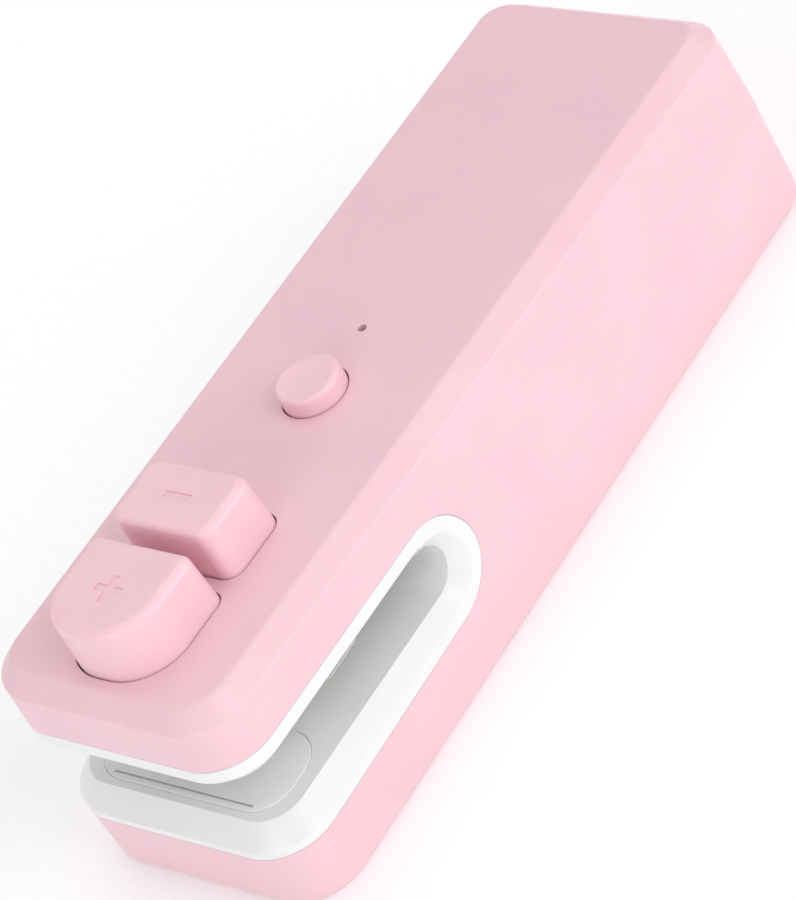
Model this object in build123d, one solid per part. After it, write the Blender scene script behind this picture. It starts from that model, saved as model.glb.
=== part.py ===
from build123d import *
import os
from math import cos, radians, tan

# Handheld bag heat sealer, millimetres. +X runs from the jaws to the rear, +Z is up, and the
# flat underside lies on z = 0. Distances called "from the front" start at the jaw end.

# Casing
length = 108.0
width = 35.2              # at the parting line, the widest level
front_height = 30.9
rear_height = 27.15
parting_z = 14.6
upper_draft = 2.6         # degrees
lower_draft = 0.6
front_corner = 7.1
rear_corner = 5.5
top_chamfer = 2.05
chamfer_soft_top = 0.7    # rounding where the chamfer meets the top
chamfer_soft_side = 0.45
bottom_round = 1.4
wall = 1.8
seam_gap = 0.06           # between mouldings that meet
lip_height = 1.2
lip_thick = 0.8

# Bag slot and its liner
slot_depth = 41.3
slot_low = 8.6
slot_high = 22.15
slot_flare = 1.74         # degrees, the upper jaw opens towards the front
rim = 1.62
mouth_bevel = 1.85
bevel_fall = 1.2          # degrees, the lower bevel widens towards the front
liner_wall = 1.7
liner_edge = 4.0          # solid border of the liner at both sides of its hollow back
liner_front_edge = 2.9

# Keys on the upper jaw, places from the front
key_height = 7.0
key_draft = 2.5
key_wall = 1.3
key_rounding = 1.0
key_gap = 0.18            # running gap to the casing
flange_lap = 0.8
flange_thick = 1.5
spigot_height = 1.4
seal_key_start = 19.6
seal_key_long = 9.2
seal_key_wide = 14.8
seal_key_corner = 2.0
cut_key_start = 4.4
cut_key_long = 13.3
cut_key_wide = 14.8
cut_key_corner = 1.6
cut_key_nose = 6.5        # corner radius of its rounded front
glyph_long = 3.7
glyph_stroke = 0.95
glyph_deep = 0.2

# Heater head
leg_inner = 3.3
leg_wide = 3.6
leg_thick = 3.4
bar_long = 16.0
bar_wide = 4.2
bar_thick = 1.5
head_gap = 0.2            # between the bar and the liner at rest
strip_thick = 0.12
strip_wide = 2.4
cover_thick = 0.15
window_gap = 0.35
wiper_thick = 0.3
wiper_gap = 0.08
wiper_height = 1.6        # of the tongue that hangs beside the leg
wiper_foot = 3.0
wiper_pad = 1.6           # beyond the leg's window, where the lead is soldered

# Cutter
blade_from_front = 4.2
blade_long = 19.6
blade_thick = 0.5
blade_drop = 2.5          # below the liner at rest
blade_edge = 1.4          # height of the ground edge
blade_bite = 0.25         # into the pad's groove at full travel
carrier_front = 3.2
carrier_wide = 22.4

# Springs
spring_outer = 4.4
spring_wire = 0.45
post_diameter = 3.0
post_height = 3.5

# Pads in the lower jaw
pad_thick = 1.3
pad_recess = 1.1
pad_gap = 0.05
seal_pad_long = 6.4
seal_pad_wide = 18.0
cut_pad_start = 3.4
cut_pad_long = 10.8
cut_pad_wide = 26.8
cut_pad_corner = 4.4
groove_wide = 0.6
groove_deep = 0.6

# Power button and its light
button_from_front = 45.7
button_diameter = 7.7
button_height = 2.4
button_rounding = 0.6
button_dish = 0.22
button_flange = 9.6
button_flange_thick = 0.9
button_stem = 3.0
button_travel = 0.4
light_from_front = 55.3
light_hole = 1.0
light_recess = 0.9
light_body = 2.2
collar_wall = 0.7
collar_height = 3.0

# Circuit board, switch, socket
board_front = 43.4
board_end = 2.6           # from the board's rear edge to the casing's rear
board_wide = 18.6
board_thick = 1.2
board_bottom = 17.4
switch_side = 6.0
switch_height = 3.5
switch_stem = 3.4
switch_base_hole = 3.6
stem_proud = 1.1          # of the switch stem above its body
led_size = (1.6, 1.0, 0.7)
post_outer = 4.4
board_post_places = ((51.6, 6.6), (51.6, -6.6), (91.0, 6.6), (91.0, -6.6))
usb_wide = 8.94
usb_tall = 3.26
usb_deep = 7.35
usb_sheet = 0.3
usb_gap = 0.2
usb_recess = 0.5
tongue_wide = 6.7
tongue_thick = 0.7
tongue_back = 1.4
tongue_tip = 0.9          # from the tongue's end to the mouth

# Components on the board: kind, distance from the front, y, length, width, height
board_components = (
    ("chip", 61.5, 3.6, 5.0, 4.0, 1.5),
    ("chip", 61.5, -3.6, 5.0, 4.0, 1.5),
    ("coil", 70.0, 3.8, 6.0, 6.0, 2.8),
    ("chip", 70.5, -3.4, 6.2, 5.0, 1.6),
    ("capacitor", 76.8, 3.8, 3.2, 1.6, 1.4),
    ("capacitor", 76.8, 0.8, 3.2, 1.6, 1.4),
    ("chip", 79.0, -3.6, 3.0, 3.0, 1.0),
    ("capacitor", 83.5, -3.8, 3.2, 1.6, 1.4),
    ("coil", 84.0, 3.4, 4.2, 4.2, 2.0),
)

# Cell
cell_diameter = 14.0
cell_long = 48.5
cell_front = 50.8
nub_diameter = 5.5
nub_height = 0.8
foam_thick = 0.8
foam_wide = 9.0
foam_long = 44.0
tab_wide = 4.0
tab_thick = 0.2
rib_thick = 1.2
rib_wide = 17.0
rib_height = 5.0
rib_places = (58.0, 75.0, 92.0)

# Screws
screw_shank = 2.0
screw_head = 3.6
screw_head_thick = 1.3
flat_head_thick = 0.9     # of the screws inside the slot
screw_fit = 0.04          # radial, shank in its pilot
screw_clear = 0.15        # radial, shank in the clamped part
head_clear = 0.25
drive_wide = 1.7
drive_slot = 0.45
boss_outer = 5.4
case_screw_long = 9.0
case_screw_seat = 10.0
case_screw_places = ((47.8, 12.0), (47.8, -12.0), (101.0, 11.4), (101.0, -11.4))
jaw_screw_long = 6.0
jaw_screw_seat = 2.8
jaw_boss_top = 5.0
jaw_screw_places = ((12.5, 10.8), (12.5, -10.8))
liner_screw_long = 6.0
liner_screw_places = ((32.0, 10.6), (32.0, -10.6))
board_screw_long = 4.5

# Leads to the heater contacts
lead_diameter = 1.2

# Worked out from the sizes above
front = -length / 2
rear = length / 2
top_slope = (front_height - rear_height) / length
slot_mid = (slot_low + slot_high) / 2
slot_radius = (slot_high - slot_low) / 2
slot_round = front + slot_depth - slot_radius
lining = rim + mouth_bevel
floor_z = slot_low + lining
board_top = board_bottom + board_thick
beyond = 6.0              # how far cutting shapes run past the casing
past = 1.0                # how far a small cut runs past a face
cell_z = wall + foam_thick + cell_diameter / 2


def top_z(x, above=0.0):
    """Height of the casing's sloping top at x."""
    return front_height - (x - front) * top_slope + above


def slot_roof(x, inset=0.0):
    """Height of the slot's upper outline at x."""
    return slot_high + (slot_round - x) * tan(radians(slot_flare)) - inset


def block(x0, x1, y0, y1, z0, z1):
    """Box between two corners."""
    return Pos((x0 + x1) / 2, (y0 + y1) / 2, (z0 + z1) / 2) * Box(x1 - x0, y1 - y0, z1 - z0)


def rod(x, y, z0, z1, diameter):
    """Upright cylinder from z0 to z1."""
    return Pos(x, y, (z0 + z1) / 2) * Cylinder(diameter / 2, z1 - z0)


def top_plane(above=0.0):
    """Plane of the sloping top, moved up or down."""
    return Plane(origin=(front, 0, front_height + above), x_dir=(1, 0, -top_slope), z_dir=(top_slope, 0, 1))


def below_top(shape, above=0.0):
    """The part of a shape that lies below the sloping top."""
    return split(shape, bisect_by=top_plane(above), keep=Keep.BOTTOM)


def outline(inset):
    """Plan of the casing at the parting line."""
    plan = Rectangle(length - 2 * inset, width - 2 * inset)
    plan = fillet(plan.vertices().group_by(Axis.X)[0], front_corner - inset)
    return fillet(plan.vertices().group_by(Axis.X)[-1], rear_corner - inset)


def upper_body(inset, top_cut):
    """Drafted upper half, cut off by the sloping top."""
    level = Plane.XY.offset(parting_z)
    tall = extrude(level * outline(inset), front_height - parting_z + past, taper=upper_draft)
    return below_top(tall, -top_cut)


def lower_body(inset, floor):
    """Drafted lower half, down to its floor."""
    level = Plane.XY.offset(parting_z)
    return mirror(extrude(level * outline(inset), parting_z - floor, taper=lower_draft), about=level)


def depth(edge):
    """How far an edge's middle lies below the sloping top."""
    middle = edge.center()
    return top_z(middle.X) - middle.Z


def outer_upper():
    """Outside of the upper half; its top edge is chamfered and the chamfer's edges are softened."""
    body = upper_body(0, 0)
    body = chamfer([edge for edge in body.edges() if depth(edge) < seam_gap], top_chamfer)
    low = [edge for edge in body.edges() if 0.9 * top_chamfer < depth(edge) < 1.1 * top_chamfer]
    body = fillet(low, chamfer_soft_side)
    return fillet([edge for edge in body.edges() if depth(edge) < seam_gap], chamfer_soft_top)


def outer_lower():
    """Outside of the lower half with its rounded bottom edge."""
    body = lower_body(0, 0)
    return fillet(body.faces().sort_by(Axis.Z)[0].edges(), bottom_round)


def slot_face(inset):
    """Side view of the bag slot: level floor, round inner end, flared roof."""
    radius = slot_radius - inset
    start = front - beyond
    low = slot_mid - radius
    high = slot_mid + radius
    mouth = slot_roof(start, inset)
    floor_line = Line((start, low), (slot_round, low))
    round_end = ThreePointArc((slot_round, low), (slot_round + radius, slot_mid), (slot_round, high))
    roof_line = Line((slot_round, high), (start, mouth))
    front_line = Line((start, mouth), (start, low))
    return make_face([floor_line, round_end, roof_line, front_line])


def slot_prism(inset):
    """The slot's side view run across the whole width."""
    return extrude(Plane.XZ * slot_face(inset), width, both=True)


def side_mouth(side):
    """Funnel bevel round the slot's inner end at one side face."""
    face_plane = Plane(origin=(0, side * width / 2, 0), x_dir=(1, 0, 0), z_dir=(0, -1, 0))
    inner_plane = face_plane.offset(side * mouth_bevel)
    funnel = loft([face_plane * slot_face(rim), inner_plane * slot_face(lining)], ruled=True)
    return funnel & block(slot_round, rear, -width, width, 0, front_height)


def jaw_bevel(upper):
    """Bevel that wraps round one jaw's edge from side to side through the front."""
    rise = tan(radians(slot_flare if upper else -bevel_fall))
    edge = slot_high - rim if upper else slot_low + rim
    sign = -1 if upper else 1
    span = Polyline(
        (front - beyond, edge + rise * (slot_round - front + beyond)),
        (slot_round, edge),
        (slot_round, slot_mid),
        (front - beyond, slot_mid),
        close=True,
    )
    ring = extrude(Plane.XZ * make_face(span), width, both=True)
    slant = Plane(origin=(slot_round, 0, edge), x_dir=(1, 0, -rise), z_dir=(sign * rise, 0, sign))
    inset = tan(radians(upper_draft)) * (edge - parting_z) if upper else 0
    wide_plan = Pos(-slot_round, 0) * outline(inset)
    narrow_plan = Pos(-slot_round, 0) * outline(inset + lining)
    kept = loft([slant * wide_plan, slant.offset(lining) * narrow_plan], ruled=True)
    return ring - kept


def key_plan(start, long, wide, nose, corner, grow):
    """Plan of a key: nose is the corner radius at its front, corner the one at its rear."""
    plan = Pos(front + start + long / 2, 0) * Rectangle(long + 2 * grow, wide + 2 * grow)
    plan = fillet(plan.vertices().group_by(Axis.X)[0], max(nose + grow, seam_gap))
    return fillet(plan.vertices().group_by(Axis.X)[-1], max(corner + grow, seam_gap))


def seal_plan(grow):
    return key_plan(seal_key_start, seal_key_long, seal_key_wide, seal_key_corner, seal_key_corner, grow)


def cut_plan(grow):
    return key_plan(cut_key_start, cut_key_long, cut_key_wide, cut_key_nose, cut_key_corner, grow)


seal_x = front + seal_key_start + seal_key_long / 2
cut_x = front + cut_key_start + cut_key_long / 2
button_x = front + button_from_front
light_x = front + light_from_front
blade_x = front + blade_from_front
shell_under = wall / cos(top_slope)


def flange_top(start, long):
    """Highest level a key's flange can stand at below the sloping shell."""
    return top_z(front + start + long + flange_lap) - shell_under - key_gap / 2


seal_flange_z = flange_top(seal_key_start, seal_key_long)
cut_flange_z = flange_top(cut_key_start, cut_key_long)
bar_top = slot_roof(seal_x + bar_wide / 2, lining) - head_gap
heater_bottom = bar_top - bar_thick - strip_thick - cover_thick
pad_top = floor_z + pad_thick - pad_recess
seal_travel = heater_bottom - pad_top - cover_thick
blade_bottom = slot_roof(blade_x, lining) - blade_drop
cut_travel = blade_bottom - pad_top + blade_bite


def deck_z(x):
    """Top of the liner's upper wall, inside the upper jaw."""
    return slot_roof(x, lining - liner_wall)


def key_head(plan, inset, z0, height):
    """Upright prism on a key's plan whose sides lean in by the key's draft."""
    lean = height * tan(radians(key_draft))
    low = Plane.XY.offset(z0) * plan(-inset)
    high = Plane.XY.offset(z0 + height) * plan(-inset - lean)
    return loft([low, high], ruled=True)


def key_cap(plan, flange_z, place, glyph):
    """Hollow key: a straight skirt inside the casing, a drafted head above it."""
    skirt_top = top_z(place) - top_slope * beyond
    skirt = extrude(Plane.XY.offset(flange_z) * plan(0), skirt_top - flange_z)
    cap = below_top(skirt + key_head(plan, 0, skirt_top, key_height + past), key_height)
    cap = fillet(cap.faces().sort_by(Axis.Z)[-1].edges(), key_rounding)
    cap -= below_top(key_head(plan, key_wall, flange_z, key_height + beyond), key_height - key_wall)
    return cap - extrude(top_plane(key_height - glyph_deep) * glyph, glyph_deep + past)


def seal_key():
    mark = Pos(seal_x - front, 0) * Rectangle(glyph_stroke, glyph_long)
    return key_cap(seal_plan, seal_flange_z, seal_x, mark)


def cut_key():
    bar = Rectangle(glyph_stroke, glyph_long)
    mark = Pos(cut_x - front, 0) * (bar + Rectangle(glyph_long, glyph_stroke))
    return key_cap(cut_plan, cut_flange_z, cut_x, mark)


def key_flange(plan, flange_z, spring_x):
    """Plate under a key with a spigot inside its skirt and a hole for the spring."""
    plate = extrude(Plane.XY.offset(flange_z - flange_thick) * plan(flange_lap), flange_thick)
    plate += extrude(Plane.XY.offset(flange_z) * plan(-key_wall - 2 * seam_gap), spigot_height)
    return plate - rod(spring_x, 0, flange_z - beyond, flange_z + beyond, spring_outer + 2 * window_gap)


def heater_head():
    """Heat-resistant carrier: flange, two legs through the liner, and the pressing bar."""
    head = key_flange(seal_plan, seal_flange_z, seal_x)
    low = bar_top - bar_thick
    for side in (1, -1):
        y0, y1 = sorted((side * leg_inner, side * (leg_inner + leg_wide)))
        head += block(seal_x - leg_thick / 2, seal_x + leg_thick / 2, y0, y1, low, seal_flange_z)
    bar = block(seal_x - bar_wide / 2, seal_x + bar_wide / 2, -bar_long / 2, bar_long / 2, low, bar_top)
    return head + fillet(bar.edges().filter_by(Axis.Y).group_by(Axis.Z)[0], bar_thick / 3)


leg_face = leg_inner + leg_wide


def heating_strip():
    """Resistance ribbon under the bar, folded up over its ends and the outside of both legs."""
    half = strip_wide / 2
    low = bar_top - bar_thick
    strip = block(seal_x - half, seal_x + half, -bar_long / 2 - strip_thick, bar_long / 2 + strip_thick,
                  low - strip_thick, low)
    for side in (1, -1):
        y0, y1 = sorted((side * bar_long / 2, side * (bar_long / 2 + strip_thick)))
        strip += block(seal_x - half, seal_x + half, y0, y1, low - strip_thick, bar_top + strip_thick)
        y0, y1 = sorted((side * leg_face, side * (bar_long / 2 + strip_thick)))
        strip += block(seal_x - half, seal_x + half, y0, y1, bar_top, bar_top + strip_thick)
        y0, y1 = sorted((side * leg_face, side * (leg_face + strip_thick)))
        strip += block(seal_x - half, seal_x + half, y0, y1, bar_top, seal_flange_z - flange_thick)
    return strip


def heater_cover():
    """Non-stick film that wraps the bar's face and both long sides."""
    half = bar_wide / 2
    low = bar_top - bar_thick - strip_thick
    reach = bar_long / 2 - seam_gap
    outside = half + cover_thick
    cover = block(seal_x - outside, seal_x + outside, -reach, reach, low - cover_thick, low)
    for x0, x1 in ((seal_x - outside, seal_x - half), (seal_x + half, seal_x + outside)):
        cover += block(x0, x1, -reach, reach, low - cover_thick, bar_top)
    return cover


def blade_carrier():
    """Flange of the cutting key, run forward to hold the blade in a slit."""
    low = cut_flange_z - flange_thick
    carrier = key_flange(cut_plan, cut_flange_z, cut_x)
    carrier_end = front + cut_key_start + cut_key_long / 2
    shelf = block(front + carrier_front, carrier_end, -carrier_wide / 2, carrier_wide / 2, low, cut_flange_z)
    shelf = fillet(shelf.edges().filter_by(Axis.Z), cut_key_corner)
    shelf -= rod(cut_x, 0, low - beyond, cut_flange_z + beyond, spring_outer + 2 * window_gap)
    half = blade_thick / 2 + seam_gap / 2
    reach = blade_long / 2 + seam_gap / 2
    slit = block(blade_x - half, blade_x + half, -reach, reach, low - past, cut_flange_z + past)
    return carrier + shelf - slit


def cutter_blade():
    """Straight blade with a ground lower edge."""
    high = cut_flange_z
    half = blade_thick / 2
    tip = half / 4
    section = Polyline(
        (blade_x - half, high),
        (blade_x - half, blade_bottom + blade_edge),
        (blade_x - tip, blade_bottom),
        (blade_x + tip, blade_bottom),
        (blade_x + half, blade_bottom + blade_edge),
        (blade_x + half, high),
        close=True,
    )
    return extrude(Plane.XZ * make_face(section), blade_long / 2, both=True)


def spring(x, start_z, above):
    """Envelope of a coil spring between the liner and the roof of its key."""
    end_z = top_z(x + spring_outer / 2, above - key_wall) - seam_gap
    return rod(x, 0, start_z, end_z, spring_outer) - rod(x, 0, start_z, end_z, spring_outer - 2 * spring_wire)


def seal_spring():
    return spring(seal_x, deck_z(seal_x - spring_outer / 2) + seam_gap, key_height)


def cut_spring():
    return spring(cut_x, deck_z(cut_x - spring_outer / 2) + seam_gap, key_height)


def pad_plan(start, long, wide, corner, grow):
    plan = Rectangle(long + 2 * grow, wide + 2 * grow)
    return Pos(front + start + long / 2, 0) * fillet(plan.vertices(), corner + grow)


def cut_pad_plan(grow):
    return pad_plan(cut_pad_start, cut_pad_long, cut_pad_wide, cut_pad_corner, grow)


def seal_pad_plan(grow):
    start = seal_x - front - seal_pad_long / 2
    return pad_plan(start, seal_pad_long, seal_pad_wide, seal_key_corner / 2, grow)


def seal_pad():
    """Silicone strip that the heater presses the bag against."""
    return extrude(Plane.XY.offset(floor_z - pad_recess) * seal_pad_plan(0), pad_thick)


def cutting_pad():
    """Silicone pad with a groove under the blade."""
    pad = extrude(Plane.XY.offset(floor_z - pad_recess) * cut_pad_plan(0), pad_thick)
    reach = blade_long / 2 + groove_wide
    half = groove_wide / 2
    return pad - block(blade_x - half, blade_x + half, -reach, reach, pad_top - groove_deep, pad_top)


def screw(x, y, seat, long, head_thick=screw_head_thick):
    """Cross-head screw that points up, with its head below the seat."""
    shank = rod(x, y, seat, seat + long, screw_shank)
    shank = chamfer(shank.edges().group_by(Axis.Z)[-1], screw_shank / 4)
    head = rod(x, y, seat - head_thick, seat, screw_head)
    head = fillet(head.edges().group_by(Axis.Z)[0], head_thick / 3)
    low = seat - head_thick
    arm = drive_wide / 2
    half = drive_slot / 2
    drive = block(x - arm, x + arm, y - half, y + half, low, low + head_thick / 2)
    drive += block(x - half, x + half, y - arm, y + arm, low, low + head_thick / 2)
    return shank + head - drive


def screw_hole(x, y, low, seat, end):
    """Counterbore up to the seat and a clearance hole beyond it."""
    bore = rod(x, y, low - beyond, seat, screw_head + 2 * head_clear)
    return bore + rod(x, y, seat, end, screw_shank + 2 * screw_clear)


def pilot(x, y, z0, z1):
    """Blind hole that a screw cuts its thread in."""
    return rod(x, y, z0, z1, screw_shank + 2 * screw_fit)


def liner_seat(x):
    """Level of a liner screw's seat, its head just inside the liner's surface."""
    return slot_roof(x, lining) + flat_head_thick + seam_gap


def case_screws():
    screws = [screw(front + d, y, case_screw_seat, case_screw_long) for d, y in case_screw_places]
    screws += [screw(front + d, y, jaw_screw_seat, jaw_screw_long) for d, y in jaw_screw_places]
    return Compound(children=screws)


def liner_screws():
    screws = []
    for distance, y in liner_screw_places:
        x = front + distance
        screws.append(screw(x, y, liner_seat(x), liner_screw_long, flat_head_thick))
    return Compound(children=screws)


def board_screws():
    screws = [screw(front + d, y, board_bottom, board_screw_long) for d, y in board_post_places]
    return Compound(children=screws)


def slot_liner():
    """White U-shaped liner of the slot, flush with the casing at both sides and the front."""
    liner = slot_prism(0) & (upper_body(0, 0) + lower_body(0, 0))
    liner -= slot_prism(lining)
    liner = liner - side_mouth(1) - side_mouth(-1) - jaw_bevel(True) - jaw_bevel(False)
    reach = width / 2 - liner_edge
    back = block(front + liner_front_edge, rear, -reach, reach, 0, front_height)
    liner -= back - slot_prism(lining - liner_wall)
    for x in (seal_x, cut_x):
        liner += rod(x, 0, slot_roof(x, lining - liner_wall / 2), deck_z(x) + post_height, post_diameter)
    for side in (1, -1):
        y0, y1 = sorted((side * (leg_inner - window_gap), side * (bar_long / 2 + window_gap)))
        half = leg_thick / 2 + window_gap
        liner -= block(seal_x - half, seal_x + half, y0, y1, slot_mid, front_height)
    slit = blade_long / 2 + window_gap
    half = blade_thick / 2 + window_gap
    liner -= block(blade_x - half, blade_x + half, -slit, slit, slot_mid, front_height)
    for distance, y in liner_screw_places:
        seat = liner_seat(front + distance)
        liner -= screw_hole(front + distance, y, seat, seat, seat + beyond)
    for x, y in jaw_screw_places:
        liner += rod(front + x, y, jaw_boss_top + seam_gap, floor_z - pad_recess - seam_gap, boss_outer)
        liner -= pilot(front + x, y, jaw_boss_top, jaw_screw_seat + jaw_screw_long + seam_gap)
    pads = extrude(Plane.XY.offset(floor_z - pad_recess) * seal_pad_plan(pad_gap), pad_thick)
    pads += extrude(Plane.XY.offset(floor_z - pad_recess) * cut_pad_plan(pad_gap), pad_thick)
    return liner - pads


def shell_boss(x, y, z0, diameter):
    """Post that hangs from the inside of the sloping top."""
    return rod(x, y, z0, top_z(x) - wall / 2, diameter)


def upper_shell():
    """Top casing half: upper jaw, key openings, screw posts and light collar."""
    shell = outer_upper() - upper_body(wall, shell_under)
    shell -= extrude(Plane.XY.offset(parting_z) * outline(wall - lip_thick - seam_gap), lip_height + seam_gap)
    for distance, y in case_screw_places:
        x = front + distance
        post = shell_boss(x, y, parting_z + seam_gap, boss_outer)
        shell += post
        shell -= pilot(x, y, parting_z, case_screw_seat + case_screw_long + screw_fit)
    for distance, y in board_post_places:
        x = front + distance
        shell += shell_boss(x, y, board_top + seam_gap / 2, post_outer)
        shell -= pilot(x, y, board_top, board_bottom + board_screw_long + screw_fit)
    for distance, y in liner_screw_places:
        x = front + distance
        shell += shell_boss(x, y, deck_z(x - boss_outer / 2) + seam_gap, boss_outer)
        shell -= pilot(x, y, deck_z(x), liner_seat(x) + liner_screw_long + screw_fit)
    collar = light_body + 2 * (collar_wall + screw_fit)
    shell += shell_boss(light_x, 0, top_z(light_x) - shell_under - collar_height, collar)
    light_step = top_z(light_x) - shell_under
    shell -= rod(light_x, 0, light_step - collar_height - past, light_step, light_body + 2 * screw_fit)
    shell -= rod(light_x, 0, light_step - past, front_height, light_hole + 2 * screw_fit)
    shell -= slot_prism(-seam_gap)
    for plan in (seal_plan, cut_plan):
        shell -= extrude(Plane.XY.offset(slot_high) * plan(key_gap), key_height + beyond)
    shell -= rod(button_x, 0, slot_high, front_height + past, button_diameter + 2 * key_gap)
    return below_top(shell - usb_mouth(usb_gap))


def usb_plane(x):
    """Plane across the charging socket's axis, facing the rear."""
    return Plane(origin=(x, 0, board_top + usb_tall / 2), x_dir=(0, 1, 0), z_dir=(1, 0, 0))


def usb_mouth(grow):
    """Prism of the charging socket's rounded outline, run out through the rear wall."""
    tall = usb_tall + 2 * grow
    plan = RectangleRounded(usb_wide + 2 * grow, tall, tall / 2 - seam_gap)
    return extrude(usb_plane(rear - usb_recess - usb_deep) * plan, usb_deep + usb_recess + past)


def lower_shell():
    """Bottom casing half: lower jaw tray, screw bosses, locating lip and cell cradle."""
    hollow = lower_body(wall, wall)
    shell = outer_lower() - hollow
    lip = outline(wall - lip_thick) - outline(wall)
    lip_start = slot_round + slot_radius
    ring = extrude(Plane.XY.offset(parting_z - seam_gap) * lip, lip_height)
    ring += extrude(Plane.XY.offset(parting_z - lip_height) * lip, lip_height)
    shell += ring & block(lip_start, rear, -width, width, 0, front_height)
    for distance, y in case_screw_places:
        shell += rod(front + distance, y, wall / 2, parting_z, boss_outer)
        shell -= screw_hole(front + distance, y, 0, case_screw_seat, parting_z + past)
    for distance, y in jaw_screw_places:
        shell += rod(front + distance, y, wall / 2, jaw_boss_top, boss_outer)
        shell -= screw_hole(front + distance, y, 0, jaw_screw_seat, jaw_boss_top + past)
    for place in rib_places:
        x = front + place
        half = rib_thick / 2
        shell += block(x - half, x + half, -rib_wide / 2, rib_wide / 2, wall / 2, wall + rib_height)
    shell -= cell_space(foam_thick)
    return shell - slot_prism(-seam_gap)


def cell_space(grow):
    """Horizontal cylinder round the cell."""
    reach = cell_long + 4 * foam_thick
    centre = front + cell_front + cell_long / 2
    space = Pos(centre, 0, cell_z) * Rot(0, 90, 0) * Cylinder(cell_diameter / 2 + grow, reach)
    return space & block(front, rear, -width, width, wall, parting_z + board_bottom)


def battery_cell():
    """Round lithium cell with its raised positive end."""
    centre = front + cell_front + cell_long / 2
    cell = Pos(centre, 0, cell_z) * Rot(0, 90, 0) * Cylinder(cell_diameter / 2, cell_long)
    cell = fillet(cell.edges(), foam_thick / 2)
    nub_centre = front + cell_front - nub_height / 2
    return cell + Pos(nub_centre, 0, cell_z) * Rot(0, 90, 0) * Cylinder(nub_diameter / 2, nub_height)


def battery_foam():
    """Foam strip under the cell, hollowed to its curve, in lengths between the cradle ribs."""
    centre = front + cell_front + cell_long / 2
    strip = block(centre - foam_long / 2, centre + foam_long / 2, -foam_wide / 2, foam_wide / 2,
                  wall, cell_z - cell_diameter / 4)
    strip -= Pos(centre, 0, cell_z) * Rot(0, 90, 0) * Cylinder(cell_diameter / 2 + seam_gap, length)
    for place in rib_places:
        half = rib_thick / 2 + seam_gap
        strip -= block(front + place - half, front + place + half, -width, width, 0, parting_z)
    return strip


def battery_tabs():
    """Nickel strips from both ends of the cell up to the board."""
    half = tab_wide / 2
    foot = cell_z - nub_diameter / 2
    nub_end = front + cell_front - nub_height
    front_tab = block(nub_end - tab_thick, nub_end, -half, half, foot, board_bottom)
    cell_end = front + cell_front + cell_long
    rear_tab = block(cell_end, cell_end + tab_thick, -half, half, foot, board_bottom)
    return Compound(children=[front_tab, rear_tab])


def main_board():
    """Circuit board with its screw holes."""
    half = board_wide / 2
    board = block(front + board_front, rear - board_end, -half, half, board_bottom, board_top)
    holes = [(place, screw_shank + 2 * screw_clear) for place in board_post_places]
    holes += [(place, boss_outer + 2 * window_gap) for place in case_screw_places]
    for (distance, y), diameter in holes:
        board -= rod(front + distance, y, board_bottom - past, board_top + past, diameter)
    return board


def board_parts(kind):
    """Components of one kind that stand on the board."""
    parts = []
    for name, distance, y, long, wide, tall in board_components:
        if name == kind:
            x = front + distance
            body = block(x - long / 2, x + long / 2, y - wide / 2, y + wide / 2, board_top, board_top + tall)
            parts.append(chamfer(body.edges().group_by(Axis.Z)[-1], tall / 8))
    return Compound(children=parts)


def power_switch():
    """Push switch under the power button."""
    half = switch_side / 2
    body = block(button_x - half, button_x + half, -half, half, board_top, board_top + switch_height)
    body = chamfer(body.edges().filter_by(Axis.Z), half / 6)
    middle = board_top + switch_height / 2
    return body - rod(button_x, 0, middle, middle + switch_height, switch_base_hole)


stem_top = board_top + switch_height + stem_proud
stem_bottom = board_top + switch_height / 2 + button_travel + seam_gap


def switch_plunger():
    """Round stem of the push switch."""
    return rod(button_x, 0, stem_bottom, stem_top, switch_stem)


def power_button():
    """Round button: rounded rim, dished top, flange and stem inside the casing."""
    flange_z = top_z(button_x + button_flange / 2) - shell_under - key_gap / 2
    body = rod(button_x, 0, flange_z, front_height + button_height + past, button_diameter)
    body = below_top(body, button_height)
    body = fillet(body.faces().sort_by(Axis.Z)[-1].edges(), button_rounding)
    reach = button_diameter / 2 - button_rounding
    ball = (reach ** 2 + button_dish ** 2) / (2 * button_dish)
    body -= Pos(button_x, 0, top_z(button_x, button_height) + ball - button_dish) * Sphere(ball)
    body += rod(button_x, 0, flange_z - button_flange_thick, flange_z, button_flange)
    return body + rod(button_x, 0, stem_top, flange_z, button_stem)


def light_pipe():
    """Clear pin in the casing's light hole with a thicker body above the indicator."""
    step = top_z(light_x) - shell_under - seam_gap
    pin = rod(light_x, 0, step, top_z(light_x, -light_recess), light_hole)
    return pin + rod(light_x, 0, board_top + led_size[2] + head_gap, step, light_body)


def status_led():
    long, wide, tall = led_size
    body = block(light_x - long / 2, light_x + long / 2, -wide / 2, wide / 2, board_top, board_top + tall)
    return chamfer(body.edges().group_by(Axis.Z)[-1], tall / 6)


def usb_shell():
    """Folded steel shell of the charging socket, closed at the back."""
    plane = usb_plane(rear - usb_recess - usb_deep)
    outer = RectangleRounded(usb_wide, usb_tall, usb_tall / 2 - seam_gap)
    inner_tall = usb_tall - 2 * usb_sheet
    inner = RectangleRounded(usb_wide - 2 * usb_sheet, inner_tall, inner_tall / 2 - seam_gap)
    hollow = extrude(plane.offset(usb_sheet) * inner, usb_deep)
    return extrude(plane * outer, usb_deep) - hollow


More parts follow.
